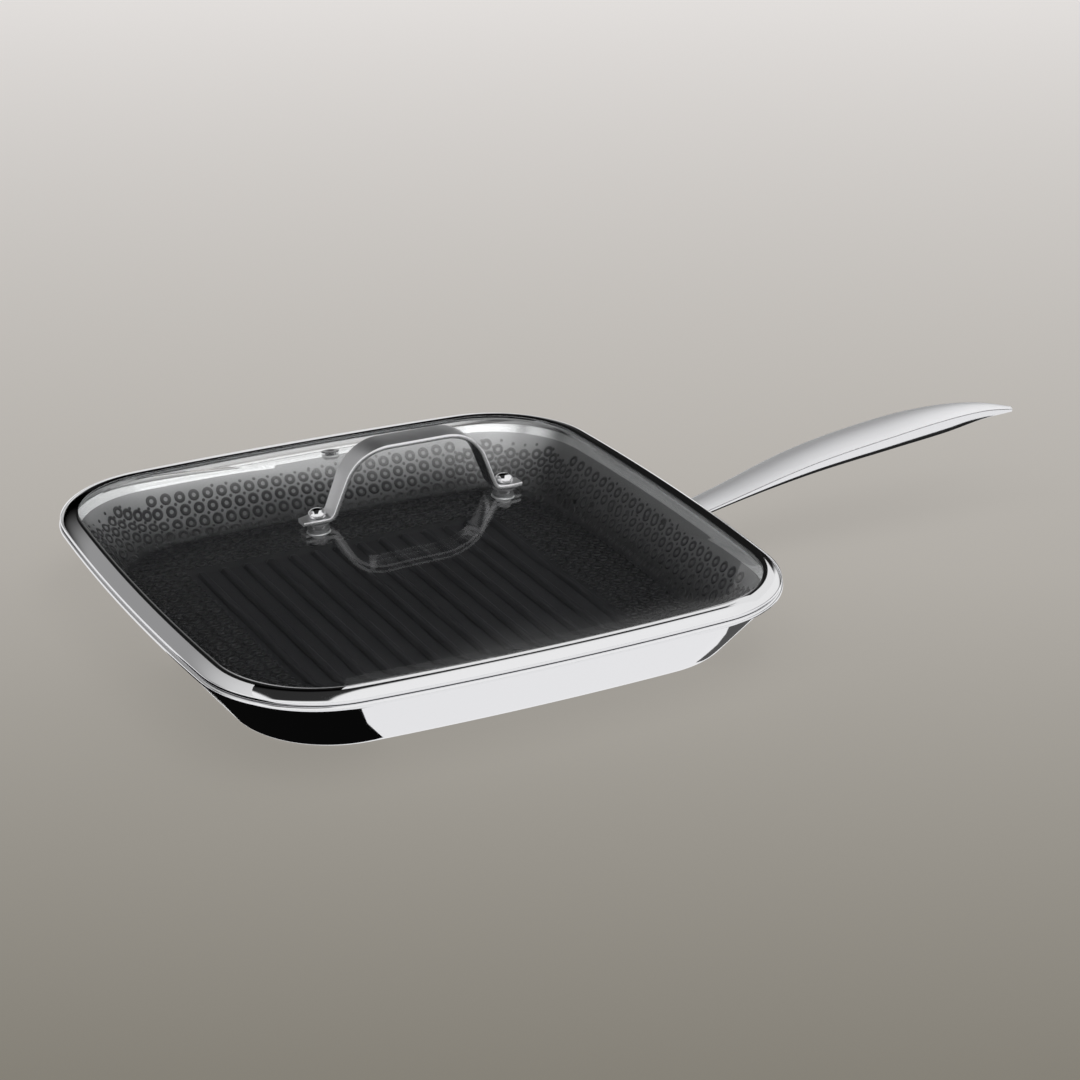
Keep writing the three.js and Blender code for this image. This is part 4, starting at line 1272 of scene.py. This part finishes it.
class GRILLPAN_OT_lid_band(bpy.types.Operator):
    """Steel band around the glass, with the bead that locates the lid in the pan's mouth"""

    bl_idname = "grill_pan.lid_band"
    bl_label = "Lid band"

    def execute(self, context):
        settings = context.scene.grill_pan
        lid = settings.lid
        form = LidForm(settings)
        low = form.band_low
        bead_low = low - lid.bead_depth
        bead = form.wall.half(bead_low, form.wall.thickness) - lid.bead_clearance
        edge = BAND_HALF - lid.band_round
        channel = BAND_HALF - lid.sheet
        profile = [
            *arc((edge, low + lid.band_round), lid.band_round, -math.pi / 2, 0, FLARE_STEPS),
            *form.band_top(0.0), *form.band_top(lid.sheet)[::-1], (channel, low + lid.sheet),
            (bead - lid.sheet, low + lid.sheet), (bead - lid.sheet, bead_low), (bead, bead_low), (bead, low),
        ]
        rings = [lip_parallel(settings.pan, x, z) for x, z in profile]
        band = add_object("lid_rim_band", *loft(rings, True), polished("band_polish"))
        band.data.materials.append(polished("bead_satin"))
        for face in band.data.polygons:
            inward = face.center.xy.dot(face.normal.xy) < 0
            face.material_index = int(inward and face.center.z < low + lid.sheet / 2)
        seat(band, "lid", "polished_steel", "lid_band")
        return {"FINISHED"}


class GRILLPAN_OT_lid_glass(bpy.types.Operator):
    """Domed glass with its three holes"""

    bl_idname = "grill_pan.lid_glass"
    bl_label = "Lid glass"

    def execute(self, context):
        settings = context.scene.grill_pan
        form = LidForm(settings)
        stack = Stack(settings)
        glass = settings.lid.glass
        parts = np.arange(1, DOME_STEPS + 1) / DOME_STEPS
        top = [form.dome_ring(part, 0.0) for part in parts]
        bottom = [form.dome_ring(part, glass) for part in parts]
        top.append(lip_parallel(settings.pan, GLASS_HALF, form.glass_high))
        bottom.append(lip_parallel(settings.pan, GLASS_HALF, form.glass_low))
        dome = add_object("lid_dome", *loft(bottom + top[::-1]), clear_glass())
        through = 2 * glass
        holes = [rod(stack.glass_hole, -through, through, matrix) for matrix in feet(settings).values()]
        cut(dome, *holes, rod(stack.vent_hole, -through, through, vent_frame(settings)))
        seat(dome, "lid", "clear_glass", "lid_glass")
        return {"FINISHED"}


def bent_path(corners, radii):
    """Points and directions along a line of corners with a bend at each inner one, in a profile's plane."""
    path = []
    for i, corner in enumerate(corners):
        before, after = corners[max(i - 1, 0)], corners[min(i + 1, len(corners) - 1)]
        if i in (0, len(corners) - 1):
            path.append((corner, (after - before).normalized()))
            continue
        into, out = (corner - before).normalized(), (after - corner).normalized()
        turn = into.angle_signed(out)
        radius = radii[i - 1]
        start = corner - into * radius * math.tan(abs(turn) / 2)
        centre = start + Vector((into.y, -into.x)) * math.copysign(radius, turn)
        for step in range(BEND_STEPS + 1):
            spin = Matrix.Rotation(-turn * step / BEND_STEPS, 2)
            path.append((centre + spin @ (start - centre), spin @ into))
    return path


class GRILLPAN_OT_lid_strap(bpy.types.Operator):
    """Bent strap on the lid, tapered at both feet"""

    bl_idname = "grill_pan.lid_strap"
    bl_label = "Lid strap"

    @staticmethod
    def polish_edges(piece, middle):
        """Mirror polish on the long edges and on the faces turned to the strap's middle."""
        turned_to = 0.3
        mesh = piece.data
        mesh.materials.append(polished("mirror_polish"))
        for face in mesh.polygons:
            inward = Vector((middle.x - face.center.x, 0.0, middle.z - face.center.z)).normalized()
            face.material_index = int(max(abs(face.normal.y), face.normal.dot(inward)) > turned_to)

    def execute(self, context):
        settings = context.scene.grill_pan
        strap = settings.strap
        form = LidForm(settings)
        stack = Stack(settings)
        tilt = form.tilt(strap.foot_reach)
        outward = Vector((math.cos(tilt), -math.sin(tilt)))
        normal = Vector((math.sin(tilt), math.cos(tilt)))
        middle = (stack.foot_low + stack.foot_high) / 2
        screw = Vector((strap.foot_reach, form.height(strap.foot_reach))) + normal * middle
        tip = screw + outward * strap.tip
        shoulder = screw + outward * strap.shoulder
        heel = screw - outward * strap.heel
        knee = Vector((strap.grip_half, STRAP_TOP - strap.sheet / 2))
        half = [heel, knee]
        mirrored = [Vector((-p.x, p.y)) for p in half[::-1]]
        corners = [shoulder, *half, *mirrored, Vector((-shoulder.x, shoulder.y))]
        path = bent_path(corners, (strap.foot_bend, strap.grip_bend, strap.grip_bend, strap.foot_bend))
        path = [(tip, path[0][1]), *path, (Vector((-tip.x, tip.y)), path[-1][1])]
        stations = (strap.grip_full, heel.x, shoulder.x, tip.x)
        halves = (strap.width / 2, strap.heel_half, strap.heel_half, strap.tip_half)
        rings = []
        for point, along in path:
            wide = np.interp(abs(point.x), stations, halves)
            out = Vector((-along.y, along.x))
            section = rounded_rectangle(2 * wide, strap.sheet, strap.edge, STRAP_EDGE_STEPS)
            rings.append(np.array([(point.x + out.x * rise, across, point.y + out.y * rise)
                                   for across, rise in section]))
        piece = add_object("lid_strap", *loft(rings), polished("soft_polish"))
        cut(piece, *[rod(stack.hole, 0.0, 2 * stack.nut_high, matrix) for matrix in feet(settings).values()])
        self.polish_edges(piece, Vector((0.0, 0.0, STRAP_TOP - strap.grip_bend)))
        seat(piece, "lid", "polished_steel", "lid_handle")
        return {"FINISHED"}


def nut_profile(stack):
    sizes = stack.sizes
    bore_top = stack.nut_high - sizes.nut_crown
    rim = stack.nut_low + sizes.nut_rim
    dome = [(sizes.nut_radius * math.cos(t), rim + sizes.nut_dome * math.sin(t))
            for t in np.linspace(0, math.pi / 2, EDGE_STEPS + 1)]
    return [(0, bore_top), (stack.hole, bore_top), (stack.hole, stack.nut_low),
            (sizes.nut_radius - sizes.soft, stack.nut_low),
            (sizes.nut_radius, stack.nut_low + sizes.soft), *dome]


def screw_profile(stack):
    sizes = stack.sizes
    end = stack.nut_high - sizes.nut_crown - sizes.end_clearance
    return [(0, stack.head_low), (sizes.face_radius, stack.head_low),
            (sizes.head_radius, stack.head_low + sizes.bevel), (sizes.head_radius, stack.head_high),
            (sizes.screw, stack.head_high), (sizes.screw, end), (0, end)]


def washer_profile(inner, outer, low, high, soft):
    """Flat ring with softened outer edges."""
    return [(inner, low), (outer - soft, low), (outer, low + soft), (outer, high - soft), (outer - soft, high),
            (inner, high)]


def sleeve_profile(stack):
    sizes = stack.sizes
    top = -sizes.sleeve_short
    return [(stack.hole, stack.under_low), (sizes.pad_radius, stack.under_low),
            (sizes.pad_radius, stack.under_high), (stack.sleeve, stack.under_high),
            (stack.sleeve, top), (stack.hole, top)]


class GRILLPAN_OT_fasteners(bpy.types.Operator):
    """Domed nut, screw, silicone washers and steel washer at each foot of the strap"""

    bl_idname = "grill_pan.fasteners"
    bl_label = "Fasteners"

    @staticmethod
    def recess(stack, matrix):
        """The two bars of a screw's cross recess."""
        sizes = stack.sizes
        bar = prism(rectangle(sizes.drive_length / 2, sizes.drive_width / 2),
                    stack.head_low - sizes.drive_depth, stack.head_low + sizes.drive_depth)
        return [placed(bar, matrix @ Matrix.Rotation(turn, 4, "Z")) for turn in (0.0, math.pi / 2)]

    def execute(self, context):
        settings = context.scene.grill_pan
        stack = Stack(settings)
        sizes = stack.sizes
        pad = washer_profile(stack.hole, sizes.pad_radius, stack.pad_low, stack.pad_high, sizes.washer_soft)
        flat = washer_profile(stack.hole, sizes.washer_radius, stack.washer_low, stack.washer_high,
                              sizes.washer_soft)
        for side, matrix in feet(settings).items():
            for name, node, slot, profile, looped, finish in (
                ("domed_nut", "cap_nut", "polished_steel", nut_profile(stack), False, polished("mirror_polish")),
                ("foot_screw", "lid_screw", "satin_steel", screw_profile(stack), False, satin_steel()),
                ("foot_pad", "upper_gasket", "silicone", pad, True, silicone()),
                ("sleeve_pad", "lower_gasket", "silicone", sleeve_profile(stack), True, silicone()),
                ("foot_washer", "lid_washer", "satin_steel", flat, True, satin_steel()),
            ):
                piece = add_object(f"{name}_{side}", *turned(profile, looped, matrix), finish)
                if name == "foot_screw":
                    cut(piece, *self.recess(stack, matrix))
                seat(piece, "lid", slot, f"{node}_{side}")
        return {"FINISHED"}


class GRILLPAN_OT_vent(bpy.types.Operator):
    """Flanged tube of the steam vent, and the ring that it is clinched on"""

    bl_idname = "grill_pan.vent"
    bl_label = "Steam vent"

    def execute(self, context):
        settings = context.scene.grill_pan
        stack = Stack(settings)
        sizes = stack.sizes
        matrix = vent_frame(settings)
        ring_high = stack.under_high
        ring_low = ring_high - sizes.vent_ring
        clinch_high = ring_low - sizes.gap
        clinch_low = clinch_high - sizes.vent_sheet
        clinch = stack.vent_hole + sizes.vent_clinch
        flange_high = sizes.gap + sizes.vent_sheet
        roll = sizes.vent_sheet / 2
        mouth = arc((sizes.vent_bore + roll, flange_high - roll), roll, math.pi / 2, math.pi, VENT_MOUTH_STEPS)
        rim = arc((sizes.vent_flange - roll, sizes.gap + roll), roll, -math.pi / 2, math.pi / 2, VENT_RIM_STEPS)
        tube = [(sizes.vent_bore, clinch_low), (clinch, clinch_low), (clinch, clinch_high),
                (stack.tube, clinch_high), (stack.tube, sizes.gap), *rim, *mouth]
        # The tube's darkened finish is painted shade on the vent
        piece = add_object("vent_tube", *turned(tube, True, matrix), polished("vent_satin_painted_shade"))
        seat(piece, "lid", "polished_steel", "vent_eyelet")
        flat = washer_profile(stack.vent_hole, sizes.vent_flange, ring_low, ring_high, sizes.soft)
        piece = add_object("vent_clinch_ring", *turned(flat, True, matrix), satin_steel())
        seat(piece, "lid", "satin_steel", "vent_ring")
        return {"FINISHED"}


# Stage

# Zones of the studio's light, each edge a soft step from a start to an end: headings from the camera's
# and heights, in degrees, and for the gap also the sideways and onward parts of a direction
DARK_LEFT, DARK_RIGHT, DARK_TOP = (-110, -80), (80, 110), (47, 58)
LEFT_START, LEFT_END, LEFT_STEP = (-90, -75), (-45, -30), (40, 50)
LOW_END, LOW_TOP = (0, 5), (6, 20)
RIGHT_START, RIGHT_FOOT = (16, 24), (4, 12)
GAP_LEFT, GAP_RIGHT, GAP_ONWARD, GAP_FOOT = (-0.50, -0.42), (0.10, 0.16), (-0.55, -0.35), (30, 40)

# Light in those zones, and the share that the gap takes away
DARK_LIGHT, LEFT_LIGHT, LEFT_STEP_LIGHT, LOW_LIGHT, RIGHT_LIGHT, GAP_LOSS = 0.01, 0.32, 0.3, 0.6, 0.95, 0.97

# Level cards that only reflections show: heights, then outline, tone and height of each plain one; the dark ones
# on the floor are painted shadow of the pan and handle
FLOOR_CARD, BAND_CARD, HIGH_CARD = 0.0004, 0.042, 0.075
SHADOW_BLACK, SHADOW_DARK, SHADOW_GREY, WHITE = 0.003, 0.02, 0.09, 0.9
CARDS = {
    # Painted shadow beside the pan's front-right corner, seen only in reflections
    "right_card": ([(0.111, -0.127), (0.118, -0.140), (0.170, -0.140), (0.170, -0.095), (0.132, -0.096),
                    (0.113, -0.105), (0.088, -0.1185), (0.104, -0.1176), (0.1096, -0.121)], SHADOW_GREY, FLOOR_CARD),
    # Painted shadow under the handle, seen only in reflections
    "handle_card": ([(0.160, -0.030), (0.370, -0.030), (0.370, 0.070), (0.160, 0.070)], SHADOW_DARK, FLOOR_CARD),
    "back_card": ([(-0.130, 0.1425), (0.120, 0.1425), (0.150, 0.220), (-0.100, 0.220)], WHITE, BAND_CARD),
    "corner_card": ([(0.118, -0.108), (0.150, -0.125), (0.215, -0.045), (0.190, -0.020)], WHITE, HIGH_CARD),
}

# Black card at the left, painted shadow beside the pan's base: its slanted end and far corners, and how far it
# lies from the base
LEFT_SLANT = [(-0.092, -0.152), (-0.080, -0.1326), (-0.077, -0.1265), (-0.070, -0.120)]
LEFT_FAR = [(-0.285, 0.0), (-0.285, -0.152)]
LEFT_HEM = 0.0055

# Strips along the band: two reaches out from its inner edge, and two headings in degrees
LEFT_STRIP = (0.0005, 0.022, 132, 222)
FRONT_STRIP = (-0.008, 0.0, 234, 312)


def floor_paint():
    """Pale floor, lighter into the distance and clear from below; metal shows a white pool of it at the pan."""
    def describe(nodes):
        look = bpy.context.scene.grill_pan.stage
        place = on_piece(nodes)
        view = look.camera_turn[2] + math.pi / 2
        ahead = nodes.add("ShaderNodeMapping", None, {"Vector": place, "Rotation": (0, 0, -view)})
        depth = nodes.linear(nodes.axis(ahead, "X"), look.ramp_near, look.ramp_far)
        stops = ((0.0, look.floor_near), (look.ramp_middle, look.floor_middle), (1.0, look.floor_far))
        paint = nodes.add("ShaderNodeValToRGB", {"stops": stops}, {0: depth}, "Color")
        matt = nodes.principled({"Base Color": paint, "Roughness": 0.9, "Specular IOR Level": 0.1})
        through = nodes.ray("Is Transmission Ray")
        seen = nodes.ray("Is Camera Ray") + through
        lit = nodes.choose(seen * look.floor_glow, matt, nodes.glow(paint))
        away = nodes.add("ShaderNodeVectorMath", {"operation": "LENGTH"}, {0: place}, "Value")
        pool = nodes.mix(nodes.smooth(away, look.pool_inner, look.pool_outer),
                         tuple(look.floor_mirrored), tuple(look.floor_dark))
        mirrored = nodes.ray("Is Glossy Ray") * (1.0 - through)
        top = nodes.choose(mirrored, lit, nodes.glow(pool))
        below = nodes.add("ShaderNodeNewGeometry", None, None, "Backfacing")
        return nodes.choose(below, top, nodes.add("ShaderNodeBsdfTransparent"))
    return new_finish("pale_floor", describe)


def studio_light(scene):
    """Soft light from behind the camera and overhead, dim zones ahead of it, and a plain backdrop."""
    look = scene.grill_pan.stage
    world = bpy.data.worlds.new("studio")
    world.use_nodes = True
    world.node_tree.nodes.clear()
    nodes = Nodes(world.node_tree)
    direction = nodes.add("ShaderNodeTexCoord", None, None, "Generated")
    ahead = Euler(look.camera_turn).to_matrix() @ Vector((0, 0, -1))
    ahead = Vector((ahead.x, ahead.y, 0)).normalized()
    onward, aside = [nodes.add("ShaderNodeVectorMath", {"operation": "DOT_PRODUCT"},
                               {0: direction, 1: axis}, "Value")
                     for axis in (tuple(ahead), (ahead.y, -ahead.x, 0))]
    heading = nodes.maths("ARCTAN2", aside, onward) * math.degrees(1)
    height = nodes.maths("ARCSINE", nodes.axis(direction, "Z")) * math.degrees(1)
    dark = nodes.within(heading, DARK_LEFT, DARK_RIGHT) * (1.0 - nodes.smooth(height, *DARK_TOP))
    left = nodes.within(heading, LEFT_START, LEFT_END)
    low = nodes.within(heading, LEFT_START, LOW_END) * (1.0 - nodes.smooth(height, *LOW_TOP))
    right = nodes.smooth(heading, *RIGHT_START) * nodes.smooth(height, *RIGHT_FOOT)
    side = LEFT_LIGHT + LEFT_STEP_LIGHT * nodes.smooth(height, *LEFT_STEP)
    level = DARK_LIGHT + left * side + LOW_LIGHT * (1.0 - left) * low + RIGHT_LIGHT * right
    gap = nodes.within(aside, GAP_LEFT, GAP_RIGHT) * nodes.smooth(onward, *GAP_ONWARD)
    gap = gap * nodes.smooth(height, *GAP_FOOT)
    strength = (1.0 - dark + dark * level) * (1.0 - GAP_LOSS * gap)
    light = nodes.add("ShaderNodeBackground", None, {"Color": opaque(look.sky), "Strength": strength})
    backdrop = nodes.add("ShaderNodeBackground", None, {"Color": opaque(look.floor_far)})
    surface = nodes.choose(nodes.ray("Is Camera Ray"), light, backdrop)
    nodes.add("ShaderNodeOutputWorld", None, {"Surface": surface})
    scene.world = world


def along_lip(settings, inner, outer, start, end):
    """Outline of a strip along the band's inner edge, between two reaches from it and two headings."""
    edge = LidForm(settings).band_inner
    sides = []
    for reach in (inner, outer):
        ring = lip_parallel(settings.pan, edge + reach, 0.0)[:, :2]
        turn = np.degrees(np.arctan2(ring[:, 1], ring[:, 0])) % 360
        sides.append([tuple(p) for p in ring[(turn >= start) & (turn <= end)]])
    return [*sides[0][::-1], *sides[1]]


def left_fade(nodes):
    """Grey along the lid's left side, dark at its back end and pale at its front end."""
    along = nodes.axis(on_piece(nodes), "Y")
    grey, pale = 0.34, 0.56
    back, front = (0.06, 0.115), (-0.135, -0.06)
    return grey * (1.0 - nodes.smooth(along, *back)) + pale * (1.0 - nodes.smooth(along, *front))


def level_sheet(name, outline, level, material):
    mesh = bpy.data.meshes.new(name)
    mesh.from_pydata([(x, y, level) for x, y in outline], [], [range(len(outline))])
    mesh.materials.append(material)
    return linked(name, mesh)


def card(name, outline, tone, level):
    """Level card that only reflections show; its tone is a grey, or a function of its nodes."""
    def describe(nodes):
        return nodes.glow(tone(nodes) if callable(tone) else opaque((tone, tone, tone)))
    flat = level_sheet(name, outline, level, new_finish(name + "_paint", describe))
    for rays in ("camera", "diffuse", "transmission", "shadow"):
        setattr(flat, "visible_" + rays, False)


class GRILLPAN_OT_stage(bpy.types.Operator):
    """Camera, pale floor, cards (the dark ones painted shadow) and soft studio light"""

    bl_idname = "grill_pan.stage"
    bl_label = "Stage"

    @staticmethod
    def add_cards(settings):
        pan = settings.pan
        # Left card: painted shadow beside the base's front-left quarter, seen only in reflections
        hem = bowed_square(pan.base_half + LEFT_HEM, pan.side_radius, pan.base_corner + LEFT_HEM, 0.0)[:, :2]
        corner = [tuple(p) for p in hem[::-1] if p[0] < LEFT_SLANT[-1][0] and p[1] < 0]
        card("left_card", [*LEFT_SLANT, *corner, *LEFT_FAR], SHADOW_BLACK, FLOOR_CARD)
        for name, (outline, tone, level) in CARDS.items():
            card(name, outline, tone, level)
        card("left_strip", along_lip(settings, *LEFT_STRIP), left_fade, BAND_CARD)
        card("front_strip", along_lip(settings, *FRONT_STRIP), WHITE, BAND_CARD)

    def execute(self, context):
        scene = context.scene
        look = scene.grill_pan.stage
        lens = bpy.data.cameras.new("camera")
        lens.lens = look.lens
        lens.sensor_width = look.sensor
        camera = linked("camera", lens)
        camera.location = look.camera_place
        camera.rotation_euler = look.camera_turn
        scene.camera = camera

        outline = rectangle(look.floor_half, look.floor_half)
        floor = level_sheet("floor", outline, -look.floor_drop, floor_paint())
        self.add_cards(scene.grill_pan)

        soft = bpy.data.lights.new("overhead", "AREA")
        soft.shape = "SQUARE"
        soft.size = look.lamp_side
        soft.energy = look.lamp_power
        lamp = linked("overhead", soft)
        lamp.location = (0.0, -look.lamp_forward, look.lamp_height)
        lamp.visible_glossy = False
        studio_light(scene)
        scene.view_settings.view_transform = "Standard"
        return {"FINISHED"}


class GRILLPAN_PT_sidebar(bpy.types.Panel):
    """Lists the operators that build the grill pan"""

    bl_label = "Grill Pan"
    bl_idname = "GRILLPAN_PT_sidebar"
    bl_space_type = "VIEW_3D"
    bl_region_type = "UI"
    bl_category = "Grill Pan"

    def draw(self, context):
        for operator in OPERATORS:
            self.layout.operator(operator.bl_idname)


OPERATORS = (
    GRILLPAN_OT_stage,
    GRILLPAN_OT_pan_sheets,
    GRILLPAN_OT_relief,
    GRILLPAN_OT_handle,
    GRILLPAN_OT_lid_band,
    GRILLPAN_OT_lid_glass,
    GRILLPAN_OT_lid_strap,
    GRILLPAN_OT_fasteners,
    GRILLPAN_OT_vent,
)
SETTINGS = (PanSizes, ReliefSizes, HandleSizes, LidSizes, StrapSizes, FastenerSizes, FinishColours, StageLook,
            GrillPanSettings)


def register():
    for entry in (*SETTINGS, *OPERATORS, GRILLPAN_PT_sidebar):
        bpy.utils.register_class(entry)
    bpy.types.Scene.grill_pan = PointerProperty(type=GrillPanSettings)


def unregister():
    del bpy.types.Scene.grill_pan
    for entry in (GRILLPAN_PT_sidebar, *OPERATORS[::-1], *SETTINGS[::-1]):
        bpy.utils.unregister_class(entry)


def main():
    register()
    for operator in OPERATORS:
        group, name = operator.bl_idname.split(".")
        getattr(getattr(bpy.ops, group), name)()


if __name__ == "__main__":
    main()
